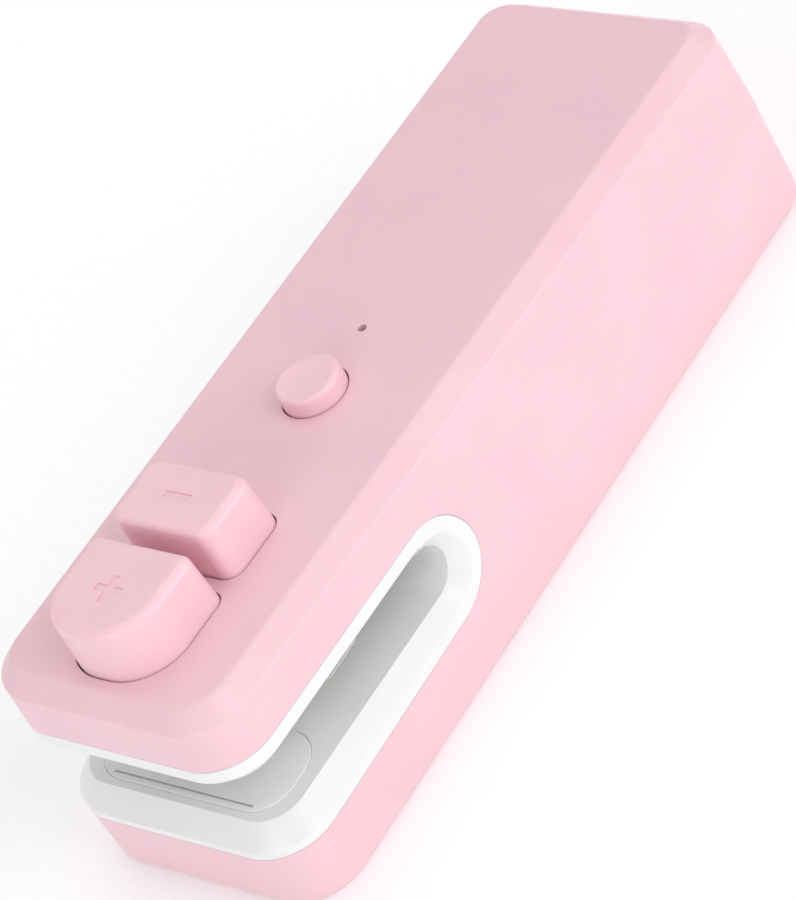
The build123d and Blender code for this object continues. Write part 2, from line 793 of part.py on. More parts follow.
def usb_tongue():
    """Insulator of the charging socket: back block and contact tongue."""
    start = rear - usb_recess - usb_deep + usb_sheet
    centre_z = board_top + usb_tall / 2
    tall = usb_tall - 2 * usb_sheet
    plan = RectangleRounded(usb_wide - 2 * usb_sheet, tall, tall / 2 - seam_gap)
    insulator = extrude(usb_plane(start) * plan, tongue_back)
    end = rear - usb_recess - tongue_tip
    half = tongue_wide / 2
    half_thick = tongue_thick / 2
    return insulator + block(start, end, -half, half, centre_z - half_thick, centre_z + half_thick)


wiper_y = leg_face + strip_thick + wiper_gap


def contact_wipers():
    """Two brass angles that stand on the liner and slide on the ribbon."""
    wipers = []
    half = strip_wide / 2
    foot_z = deck_z(seal_x - half)
    top = seal_flange_z - flange_thick - seal_travel - window_gap / 2
    window_end = bar_long / 2 + window_gap
    foot_end = window_end + wiper_foot
    pad_x = seal_x + leg_thick / 2 + window_gap + wiper_pad
    for side in (1, -1):
        y0, y1 = sorted((side * wiper_y, side * (wiper_y + wiper_thick)))
        wiper = block(seal_x - half, seal_x + half, y0, y1, top - wiper_height, top)
        y0, y1 = sorted((side * wiper_y, side * foot_end))
        wiper += block(seal_x - half, seal_x + half, y0, y1, top - wiper_thick, top)
        y0, y1 = sorted((side * (foot_end - wiper_thick), side * foot_end))
        wiper += block(seal_x - half, seal_x + half, y0, y1, foot_z, top)
        y0, y1 = sorted((side * (window_end + wiper_gap), side * foot_end))
        wiper += block(seal_x - half, pad_x, y0, y1, foot_z, foot_z + wiper_thick)
        wipers.append(wiper)
    return Compound(children=wipers)


def bends(route, share=0.45):
    """Largest bend radius at each inner corner of a route."""
    points = [Vector(*point) for point in route]
    radii = []
    for before, corner, after in zip(points, points[1:], points[2:]):
        run_in = corner - before
        run_out = after - corner
        turn = radians(run_in.get_angle(run_out))
        radii.append(share * min(run_in.length, run_out.length) / tan(turn / 2))
    return radii


def heater_leads():
    """Two insulated wires from the contacts, over the slot's end, to the board."""
    leads = []
    radius = lead_diameter / 2
    foot_y = bar_long / 2 + window_gap + wiper_gap + radius + seam_gap
    start_x = seal_x + leg_thick / 2 + window_gap + wiper_pad + radius / 2
    start_z = deck_z(seal_x) + wiper_thick / 2 + radius
    screw_x, screw_y = front + liner_screw_places[0][0], liner_screw_places[0][1]
    past_screw = screw_y - boss_outer / 2 - lead_diameter
    end_x = front + board_front + lead_diameter * 4
    crest_z = start_z + 3 * lead_diameter
    for side in (1, -1):
        route = [
            (start_x, side * foot_y, start_z),
            (screw_x - lead_diameter, side * past_screw, start_z),
            (slot_round + slot_radius / 2, side * past_screw, crest_z),
            (end_x, side * past_screw, crest_z - lead_diameter / 2),
            (end_x, side * past_screw, board_top + seam_gap),
        ]
        path = FilletPolyline(*route, radius=bends(route))
        section = Plane(origin=path @ 0, z_dir=path % 0) * Circle(radius)
        leads.append(sweep(section, path=path))
    return Compound(children=leads)


makers = {
    "upper_shell": upper_shell,
    "lower_shell": lower_shell,
    "slot_liner": slot_liner,
    "seal_key": seal_key,
    "cut_key": cut_key,
    "power_button": power_button,
    "light_pipe": light_pipe,
    "heater_head": heater_head,
    "heating_strip": heating_strip,
    "heater_cover": heater_cover,
    "seal_spring": seal_spring,
    "blade_carrier": blade_carrier,
    "cutter_blade": cutter_blade,
    "cut_spring": cut_spring,
    "seal_pad": seal_pad,
    "cutting_pad": cutting_pad,
    "contact_wipers": contact_wipers,
    "heater_leads": heater_leads,
    "main_board": main_board,
    "board_chips": lambda: board_parts("chip"),
    "board_coils": lambda: board_parts("coil"),
    "board_capacitors": lambda: board_parts("capacitor"),
    "power_switch": power_switch,
    "switch_plunger": switch_plunger,
    "status_led": status_led,
    "usb_shell": usb_shell,
    "usb_tongue": usb_tongue,
    "battery_cell": battery_cell,
    "battery_foam": battery_foam,
    "battery_tabs": battery_tabs,
    "case_screws": case_screws,
    "liner_screws": liner_screws,
    "board_screws": board_screws,
}

os.makedirs("parts", exist_ok=True)
for name, maker in makers.items():
    export_step(maker(), f"parts/{name}.step")
print("travel of the sealing key", round(seal_travel, 3), "and of the cutting key", round(cut_travel, 3))
for label, x in (("sealing", seal_x), ("cutting", cut_x)):
    print("spring of the", label, "key stands at", round(deck_z(x - spring_outer / 2) + seam_gap, 3))
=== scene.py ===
import math
import bmesh
import bpy
from mathutils import Matrix, Vector


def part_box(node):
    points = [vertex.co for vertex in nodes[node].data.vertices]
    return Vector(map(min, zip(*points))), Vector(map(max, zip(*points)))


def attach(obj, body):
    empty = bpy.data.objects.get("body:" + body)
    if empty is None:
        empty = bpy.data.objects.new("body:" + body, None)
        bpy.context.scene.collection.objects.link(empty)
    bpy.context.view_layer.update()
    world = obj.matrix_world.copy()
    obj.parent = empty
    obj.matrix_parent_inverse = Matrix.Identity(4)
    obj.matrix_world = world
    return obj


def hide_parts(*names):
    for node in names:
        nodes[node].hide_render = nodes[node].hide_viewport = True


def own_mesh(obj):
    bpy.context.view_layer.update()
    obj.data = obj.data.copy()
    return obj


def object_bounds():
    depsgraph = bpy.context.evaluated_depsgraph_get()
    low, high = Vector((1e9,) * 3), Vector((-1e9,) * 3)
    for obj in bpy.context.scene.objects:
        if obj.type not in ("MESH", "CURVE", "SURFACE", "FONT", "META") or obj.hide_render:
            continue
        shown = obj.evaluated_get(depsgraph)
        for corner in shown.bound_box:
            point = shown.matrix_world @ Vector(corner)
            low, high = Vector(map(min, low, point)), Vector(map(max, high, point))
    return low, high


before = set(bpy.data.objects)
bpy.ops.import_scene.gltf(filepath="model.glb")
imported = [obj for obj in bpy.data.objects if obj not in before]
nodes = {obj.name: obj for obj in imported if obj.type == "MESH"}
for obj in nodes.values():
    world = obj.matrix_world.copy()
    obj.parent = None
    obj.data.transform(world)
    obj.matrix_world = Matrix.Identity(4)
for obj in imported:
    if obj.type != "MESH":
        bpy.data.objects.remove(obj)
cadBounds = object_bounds()

mm = 0.001


# Small tools for materials

def hexToLinear(code):
    channels = [int(code[i:i + 2], 16) / 255 for i in (1, 3, 5)]
    linear = [c / 12.92 if c <= 0.04045 else ((c + 0.055) / 1.055) ** 2.4 for c in channels]
    return (*linear, 1.0)


def perMetre(sizeMm):
    return 1 / (sizeMm * mm)  # texture scale that makes one feature this wide


def addNode(tree, kind, inputs=None, **settings):
    node = tree.nodes.new(kind)
    for key, value in settings.items():
        setattr(node, key, value)
    for key, value in (inputs or {}).items():
        if isinstance(value, bpy.types.NodeSocket):
            tree.links.new(value, node.inputs[key])
        else:
            node.inputs[key].default_value = value
    return node


def startMaterial(name, constants):
    material = bpy.data.materials.new(name)
    material.use_nodes = True
    tree = material.node_tree
    shader = tree.nodes["Principled BSDF"]
    for key, value in constants.items():
        shader.inputs[key].default_value = value
    place = addNode(tree, "ShaderNodeTexCoord").outputs["Object"]
    return material, tree, shader, place


def colourRamp(tree, factor, stops):
    ramp = addNode(tree, "ShaderNodeValToRGB", {"Fac": factor})
    elements = ramp.color_ramp.elements
    while len(elements) < len(stops):
        elements.new(0.5)
    for element, (position, code) in zip(elements, stops):
        element.position = position
        element.color = hexToLinear(code)
    return ramp.outputs["Color"]


def noiseAt(tree, place, sizeMm, detail=2.0, stretch=None):
    if stretch:
        place = addNode(tree, "ShaderNodeMapping", {"Vector": place, "Scale": stretch}).outputs["Vector"]
    settings = {"Vector": place, "Scale": perMetre(sizeMm), "Detail": detail, "Roughness": 0.55}
    return addNode(tree, "ShaderNodeTexNoise", settings).outputs["Fac"]


def rangeOf(tree, value, low, high, fromLow=0.3, fromHigh=0.7):
    settings = {"Value": value, "From Min": fromLow, "From Max": fromHigh, "To Min": low, "To Max": high}
    return addNode(tree, "ShaderNodeMapRange", settings).outputs["Result"]


def reliefOf(tree, shader, height, strength, depthMm):
    bump = addNode(tree, "ShaderNodeBump", {"Height": height, "Strength": strength, "Distance": depthMm * mm})
    tree.links.new(bump.outputs["Normal"], shader.inputs["Normal"])


# A surface with one cloudy colour and one fine grain suits every plastic, rubber, metal and film here.
# stretch makes the grain long in one direction, as rolling, grinding and drawing do.
def grainedSurface(name, recipe):
    material, tree, shader, place = startMaterial(name, recipe["shader"])
    cloud = noiseAt(tree, place, recipe["cloudMm"], 3.0)
    tint = colourRamp(tree, cloud, [(0.3, recipe["dark"]), (0.7, recipe["light"])])
    tree.links.new(tint, shader.inputs["Base Color"])
    grain = noiseAt(tree, place, recipe["grainMm"], 2.0, recipe.get("stretch"))
    tree.links.new(rangeOf(tree, grain, *recipe["roughness"]), shader.inputs["Roughness"])
    reliefOf(tree, shader, grain, recipe["bump"], recipe["reliefMm"])
    return material


# ABS for the casing, injection moulded in a spark-eroded tool: a soft satin whose highlights
# spread wide. The spark grain is really 0.1 mm and is drawn at 0.3 mm so that it shows.
casingAbs = {
    "dark": "#ECC3CE", "light": "#EFC8D2", "cloudMm": 14.0,
    "grainMm": 0.3, "bump": 0.12, "reliefMm": 0.03, "roughness": (0.31, 0.39),
    "shader": {"IOR": 1.54, "Subsurface Weight": 0.12, "Subsurface Scale": 0.8 * mm,
               "Subsurface Radius": (1.0, 0.45, 0.45)},
}

# The keys are the same ABS from a finer tool, which gives tighter highlights on their rims.
keyAbs = {
    "dark": "#F2C6D1", "light": "#F5CCD6", "cloudMm": 8.0,
    "grainMm": 0.25, "bump": 0.1, "reliefMm": 0.02, "roughness": (0.31, 0.38),
    "shader": {"IOR": 1.54, "Subsurface Weight": 0.2, "Subsurface Scale": 1.0 * mm,
               "Subsurface Radius": (1.0, 0.4, 0.4)},
}

# White ABS of the slot liner, polished tool: a clear, slightly glossy white, whose faint 2.5 mm
# waviness keeps its reflections from looking like glass.
linerAbs = {
    "dark": "#E8E9E8", "light": "#ECEDEC", "cloudMm": 18.0,
    "grainMm": 2.5, "bump": 0.02, "reliefMm": 0.02, "roughness": (0.3, 0.36),
    "shader": {"IOR": 1.54, "Subsurface Weight": 0.1, "Subsurface Scale": 0.6 * mm,
               "Subsurface Radius": (1.0, 0.9, 0.85)},
}

# Cast silicone rubber of the two pads: milky, soft sheen, light passes a little way in.
padSilicone = {
    "dark": "#E8E8E7", "light": "#EFEFEE", "cloudMm": 5.0,
    "grainMm": 0.22, "bump": 0.3, "reliefMm": 0.03, "roughness": (0.5, 0.62),
    "shader": {"IOR": 1.41, "Subsurface Weight": 0.35, "Subsurface Scale": 1.5 * mm,
               "Subsurface Radius": (1.0, 0.95, 0.9)},
}

# Glass-filled phenolic of the heater carrier, compression moulded: matt, with pale fibre flecks.
heaterPhenolic = {
    "dark": "#3B2A22", "light": "#564036", "cloudMm": 0.6,
    "grainMm": 0.2, "bump": 0.35, "reliefMm": 0.03, "roughness": (0.5, 0.68),
    "shader": {"IOR": 1.6},
}

# Black PBT of the switch, socket insulator and blade carrier: matt moulding with a faint flow pattern.
blackPbt = {
    "dark": "#17171A", "light": "#222226", "cloudMm": 4.0,
    "grainMm": 0.25, "bump": 0.2, "reliefMm": 0.02, "roughness": (0.42, 0.55),
    "shader": {"IOR": 1.57},
}

# Nichrome ribbon, cold rolled: grey metal with lines along its length and a straw heat tint.
nichromeRibbon = {
    "dark": "#8C8478", "light": "#A79F92", "cloudMm": 1.8,
    "grainMm": 0.3, "stretch": (1.0, 0.06, 0.06), "bump": 0.2, "reliefMm": 0.01, "roughness": (0.28, 0.42),
    "shader": {"Metallic": 1.0},
}

# Blade of hardened stainless strip, ground: bright lines run across the edge.
bladeSteel = {
    "dark": "#A9AAAD", "light": "#C2C3C5", "cloudMm": 6.0,
    "grainMm": 0.25, "stretch": (1.0, 1.0, 0.05), "bump": 0.3, "reliefMm": 0.01, "roughness": (0.18, 0.32),
    "shader": {"Metallic": 1.0, "Anisotropic": 0.4},
}

# Music wire, cold drawn: smooth grey-blue steel with a fine, soft mottle.
springSteel = {
    "dark": "#6F7276", "light": "#8D9094", "cloudMm": 1.5,
    "grainMm": 0.15, "bump": 0.12, "reliefMm": 0.008, "roughness": (0.25, 0.36),
    "shader": {"Metallic": 1.0},
}

# Self-tapping screws, bright zinc plate: pale blue-grey with slightly patchy gloss.
zincPlate = {
    "dark": "#A8ADB3", "light": "#C6CACE", "cloudMm": 0.9,
    "grainMm": 0.16, "bump": 0.15, "reliefMm": 0.01, "roughness": (0.22, 0.38),
    "shader": {"Metallic": 1.0},
}

# Spring brass of the contact tongues, stamped from rolled strip: warm, with fine lines along the strip.
rolledBrass = {
    "dark": "#B08D4A", "light": "#CBAA63", "cloudMm": 1.6,
    "grainMm": 0.2, "stretch": (1.0, 0.1, 1.0), "bump": 0.2, "reliefMm": 0.01, "roughness": (0.24, 0.38),
    "shader": {"Metallic": 1.0},
}

# Pure nickel strip, rolled and welded to the cell: soft white metal with fine upright lines.
nickelStrip = {
    "dark": "#A7A39A", "light": "#BFBBB1", "cloudMm": 2.5,
    "grainMm": 0.25, "stretch": (1.0, 1.0, 0.08), "bump": 0.2, "reliefMm": 0.01, "roughness": (0.28, 0.42),
    "shader": {"Metallic": 1.0},
}

# Deep-drawn stainless of the charging socket: bright, with faint drawing lines into the mouth.
drawnSteel = {
    "dark": "#A3A5A8", "light": "#BBBDC0", "cloudMm": 3.0,
    "grainMm": 0.25, "stretch": (0.07, 1.0, 1.0), "bump": 0.2, "reliefMm": 0.01, "roughness": (0.22, 0.36),
    "shader": {"Metallic": 1.0},
}

# Gold flash over nickel on the socket's contacts.
goldFlash = {
    "dark": "#C9A24B", "light": "#DEBB68", "cloudMm": 0.8,
    "grainMm": 0.12, "bump": 0.1, "reliefMm": 0.005, "roughness": (0.2, 0.3),
    "shader": {"Metallic": 1.0},
}

# Reflowed lead-free solder: bright, a little frosted where it froze.
solder = {
    "dark": "#9FA2A5", "light": "#C4C7C9", "cloudMm": 0.5,
    "grainMm": 0.12, "bump": 0.35, "reliefMm": 0.01, "roughness": (0.25, 0.48),
    "shader": {"Metallic": 1.0},
}

# Epoxy moulding compound of the chips: near black with a silica sparkle.
chipEpoxy = {
    "dark": "#1B1C1E", "light": "#2B2C2F", "cloudMm": 0.35,
    "grainMm": 0.12, "bump": 0.3, "reliefMm": 0.01, "roughness": (0.5, 0.66),
    "shader": {"IOR": 1.55},
}

# Sintered ferrite of the inductors: dark, granular, chalky at the edges.
ferrite = {
    "dark": "#2A2B2C", "light": "#45474A", "cloudMm": 0.5,
    "grainMm": 0.14, "bump": 0.5, "reliefMm": 0.02, "roughness": (0.55, 0.75),
    "shader": {"IOR": 1.8},
}

# Enamelled copper of the windings: orange metal under a clear coat of varnish.
enamelledCopper = {
    "dark": "#A4552B", "light": "#C57640", "cloudMm": 0.7,
    "grainMm": 0.12, "bump": 0.12, "reliefMm": 0.008, "roughness": (0.22, 0.34),
    "shader": {"Metallic": 1.0, "Coat Weight": 0.5, "Coat Roughness": 0.12},
}

# Barium titanate of the ceramic capacitors, fired: biscuit brown with a fine tooth.
firedCeramic = {
    "dark": "#A67F5A", "light": "#BE976F", "cloudMm": 0.5,
    "grainMm": 0.12, "bump": 0.25, "reliefMm": 0.01, "roughness": (0.45, 0.6),
    "shader": {"IOR": 1.9},
}

# Heat-shrink PVC sleeve of the cell: a tight glossy skin with long faint creases.
shrinkSleeve = {
    "dark": "#1C6E8C", "light": "#2580A0", "cloudMm": 9.0,
    "grainMm": 2.2, "stretch": (0.2, 1.0, 1.0), "bump": 0.25, "reliefMm": 0.06, "roughness": (0.2, 0.32),
    "shader": {"IOR": 1.53, "Coat Weight": 0.3, "Coat Roughness": 0.1},
}

# Silicone rubber insulation of the heater leads: soft, slightly dusty red.
leadSilicone = {
    "dark": "#A8251F", "light": "#BF332B", "cloudMm": 2.0,
    "grainMm": 0.2, "bump": 0.2, "reliefMm": 0.01, "roughness": (0.42, 0.56),
    "shader": {"IOR": 1.43, "Subsurface Weight": 0.1, "Subsurface Scale": 0.3 * mm},
}

# Polycarbonate light pipe, clear and polished; the faint cloud keeps it from looking like air.
clearPolycarbonate = {
    "dark": "#DDE2E2", "light": "#F2F5F5", "cloudMm": 1.5,
    "grainMm": 0.5, "bump": 0.05, "reliefMm": 0.01, "roughness": (0.08, 0.16),
    "shader": {"IOR": 1.585, "Transmission Weight": 0.9},
}

# White PPA body of the indicator and its yellow phosphor window.
ledBody = {
    "dark": "#D8D6CF", "light": "#E9E7E0", "cloudMm": 0.4,
    "grainMm": 0.1, "bump": 0.15, "reliefMm": 0.005, "roughness": (0.35, 0.5),
    "shader": {"IOR": 1.56},
}
phosphor = {
    "dark": "#D9B23A", "light": "#EBCB57", "cloudMm": 0.3,
    "grainMm": 0.08, "bump": 0.2, "reliefMm": 0.005, "roughness": (0.25, 0.4),
    "shader": {"IOR": 1.5, "Subsurface Weight": 0.3, "Subsurface Scale": 0.2 * mm},
}

finishes = {
    "absCasingMoulded": casingAbs,
    "absKeyMoulded": keyAbs,
    "absLinerPolished": linerAbs,
    "siliconeCast": padSilicone,
    "phenolicGlassFilled": heaterPhenolic,
    "pbtBlackMoulded": blackPbt,
    "nichromeRolled": nichromeRibbon,
    "stainlessGround": bladeSteel,
    "musicWireDrawn": springSteel,
    "steelZincPlated": zincPlate,
    "brassRolled": rolledBrass,
    "nickelRolled": nickelStrip,
    "stainlessDrawn": drawnSteel,
    "goldFlashed": goldFlash,
    "solderReflowed": solder,
    "epoxyChipMoulded": chipEpoxy,
    "ferriteSintered": ferrite,
    "copperEnamelled": enamelledCopper,
    "ceramicFired": firedCeramic,
    "pvcSleeveShrunk": shrinkSleeve,
    "siliconeLeadExtruded": leadSilicone,
    "polycarbonateClear": clearPolycarbonate,
    "ppaLedBody": ledBody,
    "phosphorSilicone": phosphor,
}
materials = {name: grainedSurface(name, recipe) for name, recipe in finishes.items()}


# Glass cloth coated with PTFE, woven: a tan skin with the cloth's grid showing through.
# The threads are 0.15 mm apart in the real cloth and 0.3 mm here so that the grid shows.
clothFilm = {
    "threadMm": 0.3, "dark": "#8A6238", "light": "#B98C57",
    "bump": 0.5, "reliefMm": 0.03, "roughness": (0.3, 0.45),
    "shader": {"IOR": 1.35, "Coat Weight": 0.2, "Coat Roughness": 0.25},
}


def wovenFilm(name, recipe):
    material, tree, shader, place = startMaterial(name, recipe["shader"])
    bandScale = perMetre(recipe["threadMm"]) * 2 * math.pi / 20  # at scale 1 a wave is 2 pi / 20 long
    waves = []
    for direction in ("X", "Y"):
        settings = {"Vector": place, "Scale": bandScale, "Distortion": 0.2, "Detail": 0.0}
        wave = addNode(tree, "ShaderNodeTexWave", settings, bands_direction=direction, wave_profile="SIN")
        waves.append(wave.outputs["Fac"])
    weave = addNode(tree, "ShaderNodeMath", {0: waves[0], 1: waves[1]}, operation="MULTIPLY").outputs["Value"]
    tint = colourRamp(tree, weave, [(0.1, recipe["dark"]), (0.8, recipe["light"])])
    tree.links.new(tint, shader.inputs["Base Color"])
    tree.links.new(rangeOf(tree, weave, *recipe["roughness"]), shader.inputs["Roughness"])
    reliefOf(tree, shader, weave, recipe["bump"], recipe["reliefMm"])
    return material


materials["ptfeGlassCloth"] = wovenFilm("ptfeGlassCloth", clothFilm)

# FR4 laminate under green solder mask: small copper pads show through it as paler, raised diamonds.
boardMask = {
    "padMm": 1.1, "bare": "#0E4A2C", "pad": "#1F6B41", "cloudMm": 6.0,
    "bump": 0.4, "reliefMm": 0.03, "roughness": (0.25, 0.38),
    "shader": {"IOR": 1.52, "Coat Weight": 0.4, "Coat Roughness": 0.15},
}


def maskedBoard(name, recipe):
    material, tree, shader, place = startMaterial(name, recipe["shader"])
    settings = {"Vector": place, "Scale": perMetre(recipe["padMm"] * 2), "Randomness": 0.55}
    cells = addNode(tree, "ShaderNodeTexVoronoi", settings, distance="MANHATTAN", feature="F1")
    pads = rangeOf(tree, cells.outputs["Distance"], 1.0, 0.0, 0.28, 0.34)
    tint = colourRamp(tree, pads, [(0.2, recipe["bare"]), (0.8, recipe["pad"])])
    tree.links.new(tint, shader.inputs["Base Color"])
    cloud = noiseAt(tree, place, recipe["cloudMm"])
    tree.links.new(rangeOf(tree, cloud, *recipe["roughness"]), shader.inputs["Roughness"])
    reliefOf(tree, shader, pads, recipe["bump"], recipe["reliefMm"])
    return material


materials["fr4SolderMasked"] = maskedBoard("fr4SolderMasked", boardMask)

# Closed-cell EVA foam, die cut: matt charcoal, covered in small pits. The pits are given a darker colour than
# the skin: painted shade in the hollows.
evaFoam = {
    "cellMm": 0.5, "pit": "#2B2C2E", "skin": "#47494C",
    "bump": 0.8, "reliefMm": 0.15, "roughness": (0.8, 0.95),
    "shader": {"IOR": 1.5, "Sheen Weight": 0.2, "Sheen Roughness": 0.5},
}


def foamSkin(name, recipe):
    material, tree, shader, place = startMaterial(name, recipe["shader"])
    settings = {"Vector": place, "Scale": perMetre(recipe["cellMm"]), "Randomness": 1.0}
    cells = addNode(tree, "ShaderNodeTexVoronoi", settings, feature="SMOOTH_F1").outputs["Distance"]
    # painted shade: the colour darkens towards the bottom of each pit, where the bump sinks
    tint = colourRamp(tree, cells, [(0.15, recipe["pit"]), (0.5, recipe["skin"])])
    tree.links.new(tint, shader.inputs["Base Color"])
    tree.links.new(rangeOf(tree, cells, *recipe["roughness"]), shader.inputs["Roughness"])
    reliefOf(tree, shader, cells, recipe["bump"], recipe["reliefMm"])
    return material


materials["evaFoamCut"] = foamSkin("evaFoamCut", evaFoam)
print("materials made:", len(materials))

# What each carried-over CAD node is made of
nodeFinish = {
    "upper_shell": "absCasingMoulded",
    "lower_shell": "absCasingMoulded",
    "slot_liner": "absLinerPolished",
    "seal_key": "absKeyMoulded",
    "cut_key": "absKeyMoulded",
    "power_button": "absKeyMoulded",
    "light_pipe": "polycarbonateClear",
    "heater_head": "phenolicGlassFilled",
    "heating_strip": "nichromeRolled",
    "heater_cover": "ptfeGlassCloth",
    "seal_spring": "musicWireDrawn",
    "blade_carrier": "pbtBlackMoulded",
    "cutter_blade": "stainlessGround",
    "cut_spring": "musicWireDrawn",
    "seal_pad": "siliconeCast",
    "cutting_pad": "siliconeCast",
    "contact_wipers": "brassRolled",
    "heater_leads": "siliconeLeadExtruded",
    "main_board": "fr4SolderMasked",
    "board_chips": "epoxyChipMoulded",
    "board_coils": "ferriteSintered",
    "board_capacitors": "ceramicFired",
    "power_switch": "pbtBlackMoulded",
    "switch_plunger": "pbtBlackMoulded",
    "status_led": "ppaLedBody",
    "usb_shell": "stainlessDrawn",
    "usb_tongue": "pbtBlackMoulded",
    "battery_cell": "pvcSleeveShrunk",
    "battery_foam": "evaFoamCut",
    "battery_tabs": "nickelRolled",
    "case_screws": "steelZincPlated",
    "liner_screws": "steelZincPlated",
    "board_screws": "steelZincPlated",
}
for name, finishName in nodeFinish.items():
    for materialSlot in nodes[name].material_slots:
        materialSlot.material = materials[finishName]
print("CAD nodes finished:", len(nodeFinish))

# The liner's CAD edges are sharp, and a moulding's never are: a small round on them catches the light
linerEdge = {"width": 0.18 * mm, "segments": 3, "sharperThan": 35, "weldWithin": 0.001 * mm}


def roundLinerEdges():
    weld = nodes["slot_liner"].modifiers.new("weld", "WELD")
    weld.merge_threshold = linerEdge["weldWithin"]
    bevel = nodes["slot_liner"].modifiers.new("soften", "BEVEL")
    bevel.width = linerEdge["width"]
    bevel.segments = linerEdge["segments"]
    bevel.angle_limit = math.radians(linerEdge["sharperThan"])
    bevel.harden_normals = True


roundLinerEdges()


# Small tools for meshes. Every piece is gathered in one bmesh and then set on its body.
def mergeInto(bm, part, index):
    fresh = {vertex: bm.verts.new(vertex.co) for vertex in part.verts}
    for face in part.faces:
        made = bm.faces.new([fresh[vertex] for vertex in face.verts])
        made.material_index = index
        made.smooth = True
    part.free()


def addBlock(bm, low, high, edge, index=0, segments=2):
    part = bmesh.new()
    bmesh.ops.create_cube(part, size=1)
    for vertex in part.verts:
        vertex.co = [a + (c + 0.5) * (b - a) for a, b, c in zip(low, high, vertex.co)]
    bmesh.ops.bevel(part, geom=part.edges[:], offset=edge, segments=segments, affect="EDGES", profile=0.6)
    mergeInto(bm, part, index)


def addRings(bm, rings, index=0, closed=False):
    part = bmesh.new()
    loops = [[part.verts.new(point) for point in ring] for ring in rings]
    pairs = list(zip(loops, loops[1:]))
    if closed:
        pairs.append((loops[-1], loops[0]))
    for first, second in pairs:
        count = max(len(first), len(second))
        for i in range(count):
            j = (i + 1) % count
            corners = [first[i % len(first)], first[j % len(first)]]
            corners += [second[j % len(second)], second[i % len(second)]]
            part.faces.new(list(dict.fromkeys(corners)))  # a ring of one point gives triangles
    if not closed:
        for loop in (loops[0], loops[-1]):
            if len(loop) > 2:
                part.faces.new(loop)
    bmesh.ops.recalc_face_normals(part, faces=part.faces[:])
    mergeInto(bm, part, index)


def circleRing(centre, radius, height, axis="z", steps=32):
    if radius == 0:
        angles = [0]
    else:
        angles = [2 * math.pi * i / steps for i in range(steps)]
    flat = [(radius * math.cos(a), radius * math.sin(a)) for a in angles]
    if axis == "z":
        return [Vector((centre[0] + u, centre[1] + v, height)) for u, v in flat]
    return [Vector((height, centre[1] + u, centre[2] + v)) for u, v in flat]


def addLathe(bm, profile, centre, axis="z", steps=32, index=0):
    addRings(bm, [circleRing(centre, radius, height, axis, steps) for radius, height in profile], index)


def pathFrames(path):
    frames = []
    side = None
    for i, point in enumerate(path):
        along = (path[min(i + 1, len(path) - 1)] - path[max(i - 1, 0)]).normalized()
        if side is None:
            side = along.cross(Vector((0, 0, 1)))
            if side.length < 1e-3:
                side = along.cross(Vector((1, 0, 0)))
        side = (side - along * side.dot(along)).normalized()
        frames.append((point, side, along.cross(side)))
    return frames


def addWire(bm, path, radius, index=0, sides=10):
    rings = []
    for point, side, up in pathFrames(path):
        turns = [2 * math.pi * k / sides for k in range(sides)]
        rings.append([point + side * radius * math.cos(t) + up * radius * math.sin(t) for t in turns])
    addRings(bm, rings, index)


def addRibbon(bm, path, across, wide, thick, index=0):
    across = Vector(across).normalized()
    rings = []
    for i, point in enumerate(path):
        along = (path[min(i + 1, len(path) - 1)] - path[max(i - 1, 0)]).normalized()
        out = across.cross(along) * thick / 2
        side = across * wide / 2
        rings.append([point + side + out, point - side + out, point - side - out, point + side - out])
    addRings(bm, rings, index)


def addDome(bm, centre, radius, height, index=0):
    profile = [(radius * 0.9, centre[2] - height * 0.1)]
    for angle in (0, 0.35, 0.7, 1.05, 1.35):
        profile.append((radius * math.cos(angle), centre[2] + height * math.sin(angle)))
    profile.append((0, centre[2] + height))
    addLathe(bm, profile, centre, "z", 14, index)


def makePiece(bm, name, finishNames, body, replaced=()):
    mesh = bpy.data.meshes.new(name)
    bm.to_mesh(mesh)
    bm.free()
    for finishName in finishNames:
        mesh.materials.append(materials[finishName])
    piece = bpy.data.objects.new(name, mesh)
    bpy.context.scene.collection.objects.link(piece)
    softenEdges(piece)
    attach(piece, body)
    if replaced:
        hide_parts(*replaced)
    return piece


def softenEdges(piece, angle=40):
    limit = math.radians(angle)
    bm = bmesh.new()
    bm.from_mesh(piece.data)
    for edge in bm.edges:
        edge.smooth = len(edge.link_faces) == 2 and edge.calc_face_angle(0) < limit
    bm.to_mesh(piece.data)
    bm.free()


# The box of each separate solid in a node: vertices at one place count as joined
def solidBoxes(node):
    mesh = nodes[node].data
    places = [tuple(round(c * 1e6) for c in vertex.co) for vertex in mesh.vertices]
    group = {place: place for place in places}

    def root(place):
        while group[place] != place:
            group[place] = group[group[place]]
            place = group[place]
        return place

    for polygon in mesh.polygons:
        corners = [root(places[i]) for i in polygon.vertices]
        for corner in corners[1:]:
            group[root(corner)] = root(corners[0])
    solids = {}
    for place in group:
        solids.setdefault(root(place), []).append(place)
    boxes = []
    for points in solids.values():
        low = Vector([min(p[k] for p in points) for k in range(3)]) * 1e-6
        high = Vector([max(p[k] for p in points) for k in range(3)]) * 1e-6
        boxes.append((low, high))
    return sorted(boxes, key=lambda box: (round(box[0].x, 4), box[0].y))


def middle(box):
    return (box[0] + box[1]) / 2


# Coil springs under the two keys: closed ends and open turns between
springShape = {"wire": 0.45 * mm, "openTurns": 6.5, "endTurns": 1.25, "endPitch": 1.02, "stepsPerTurn": 28}


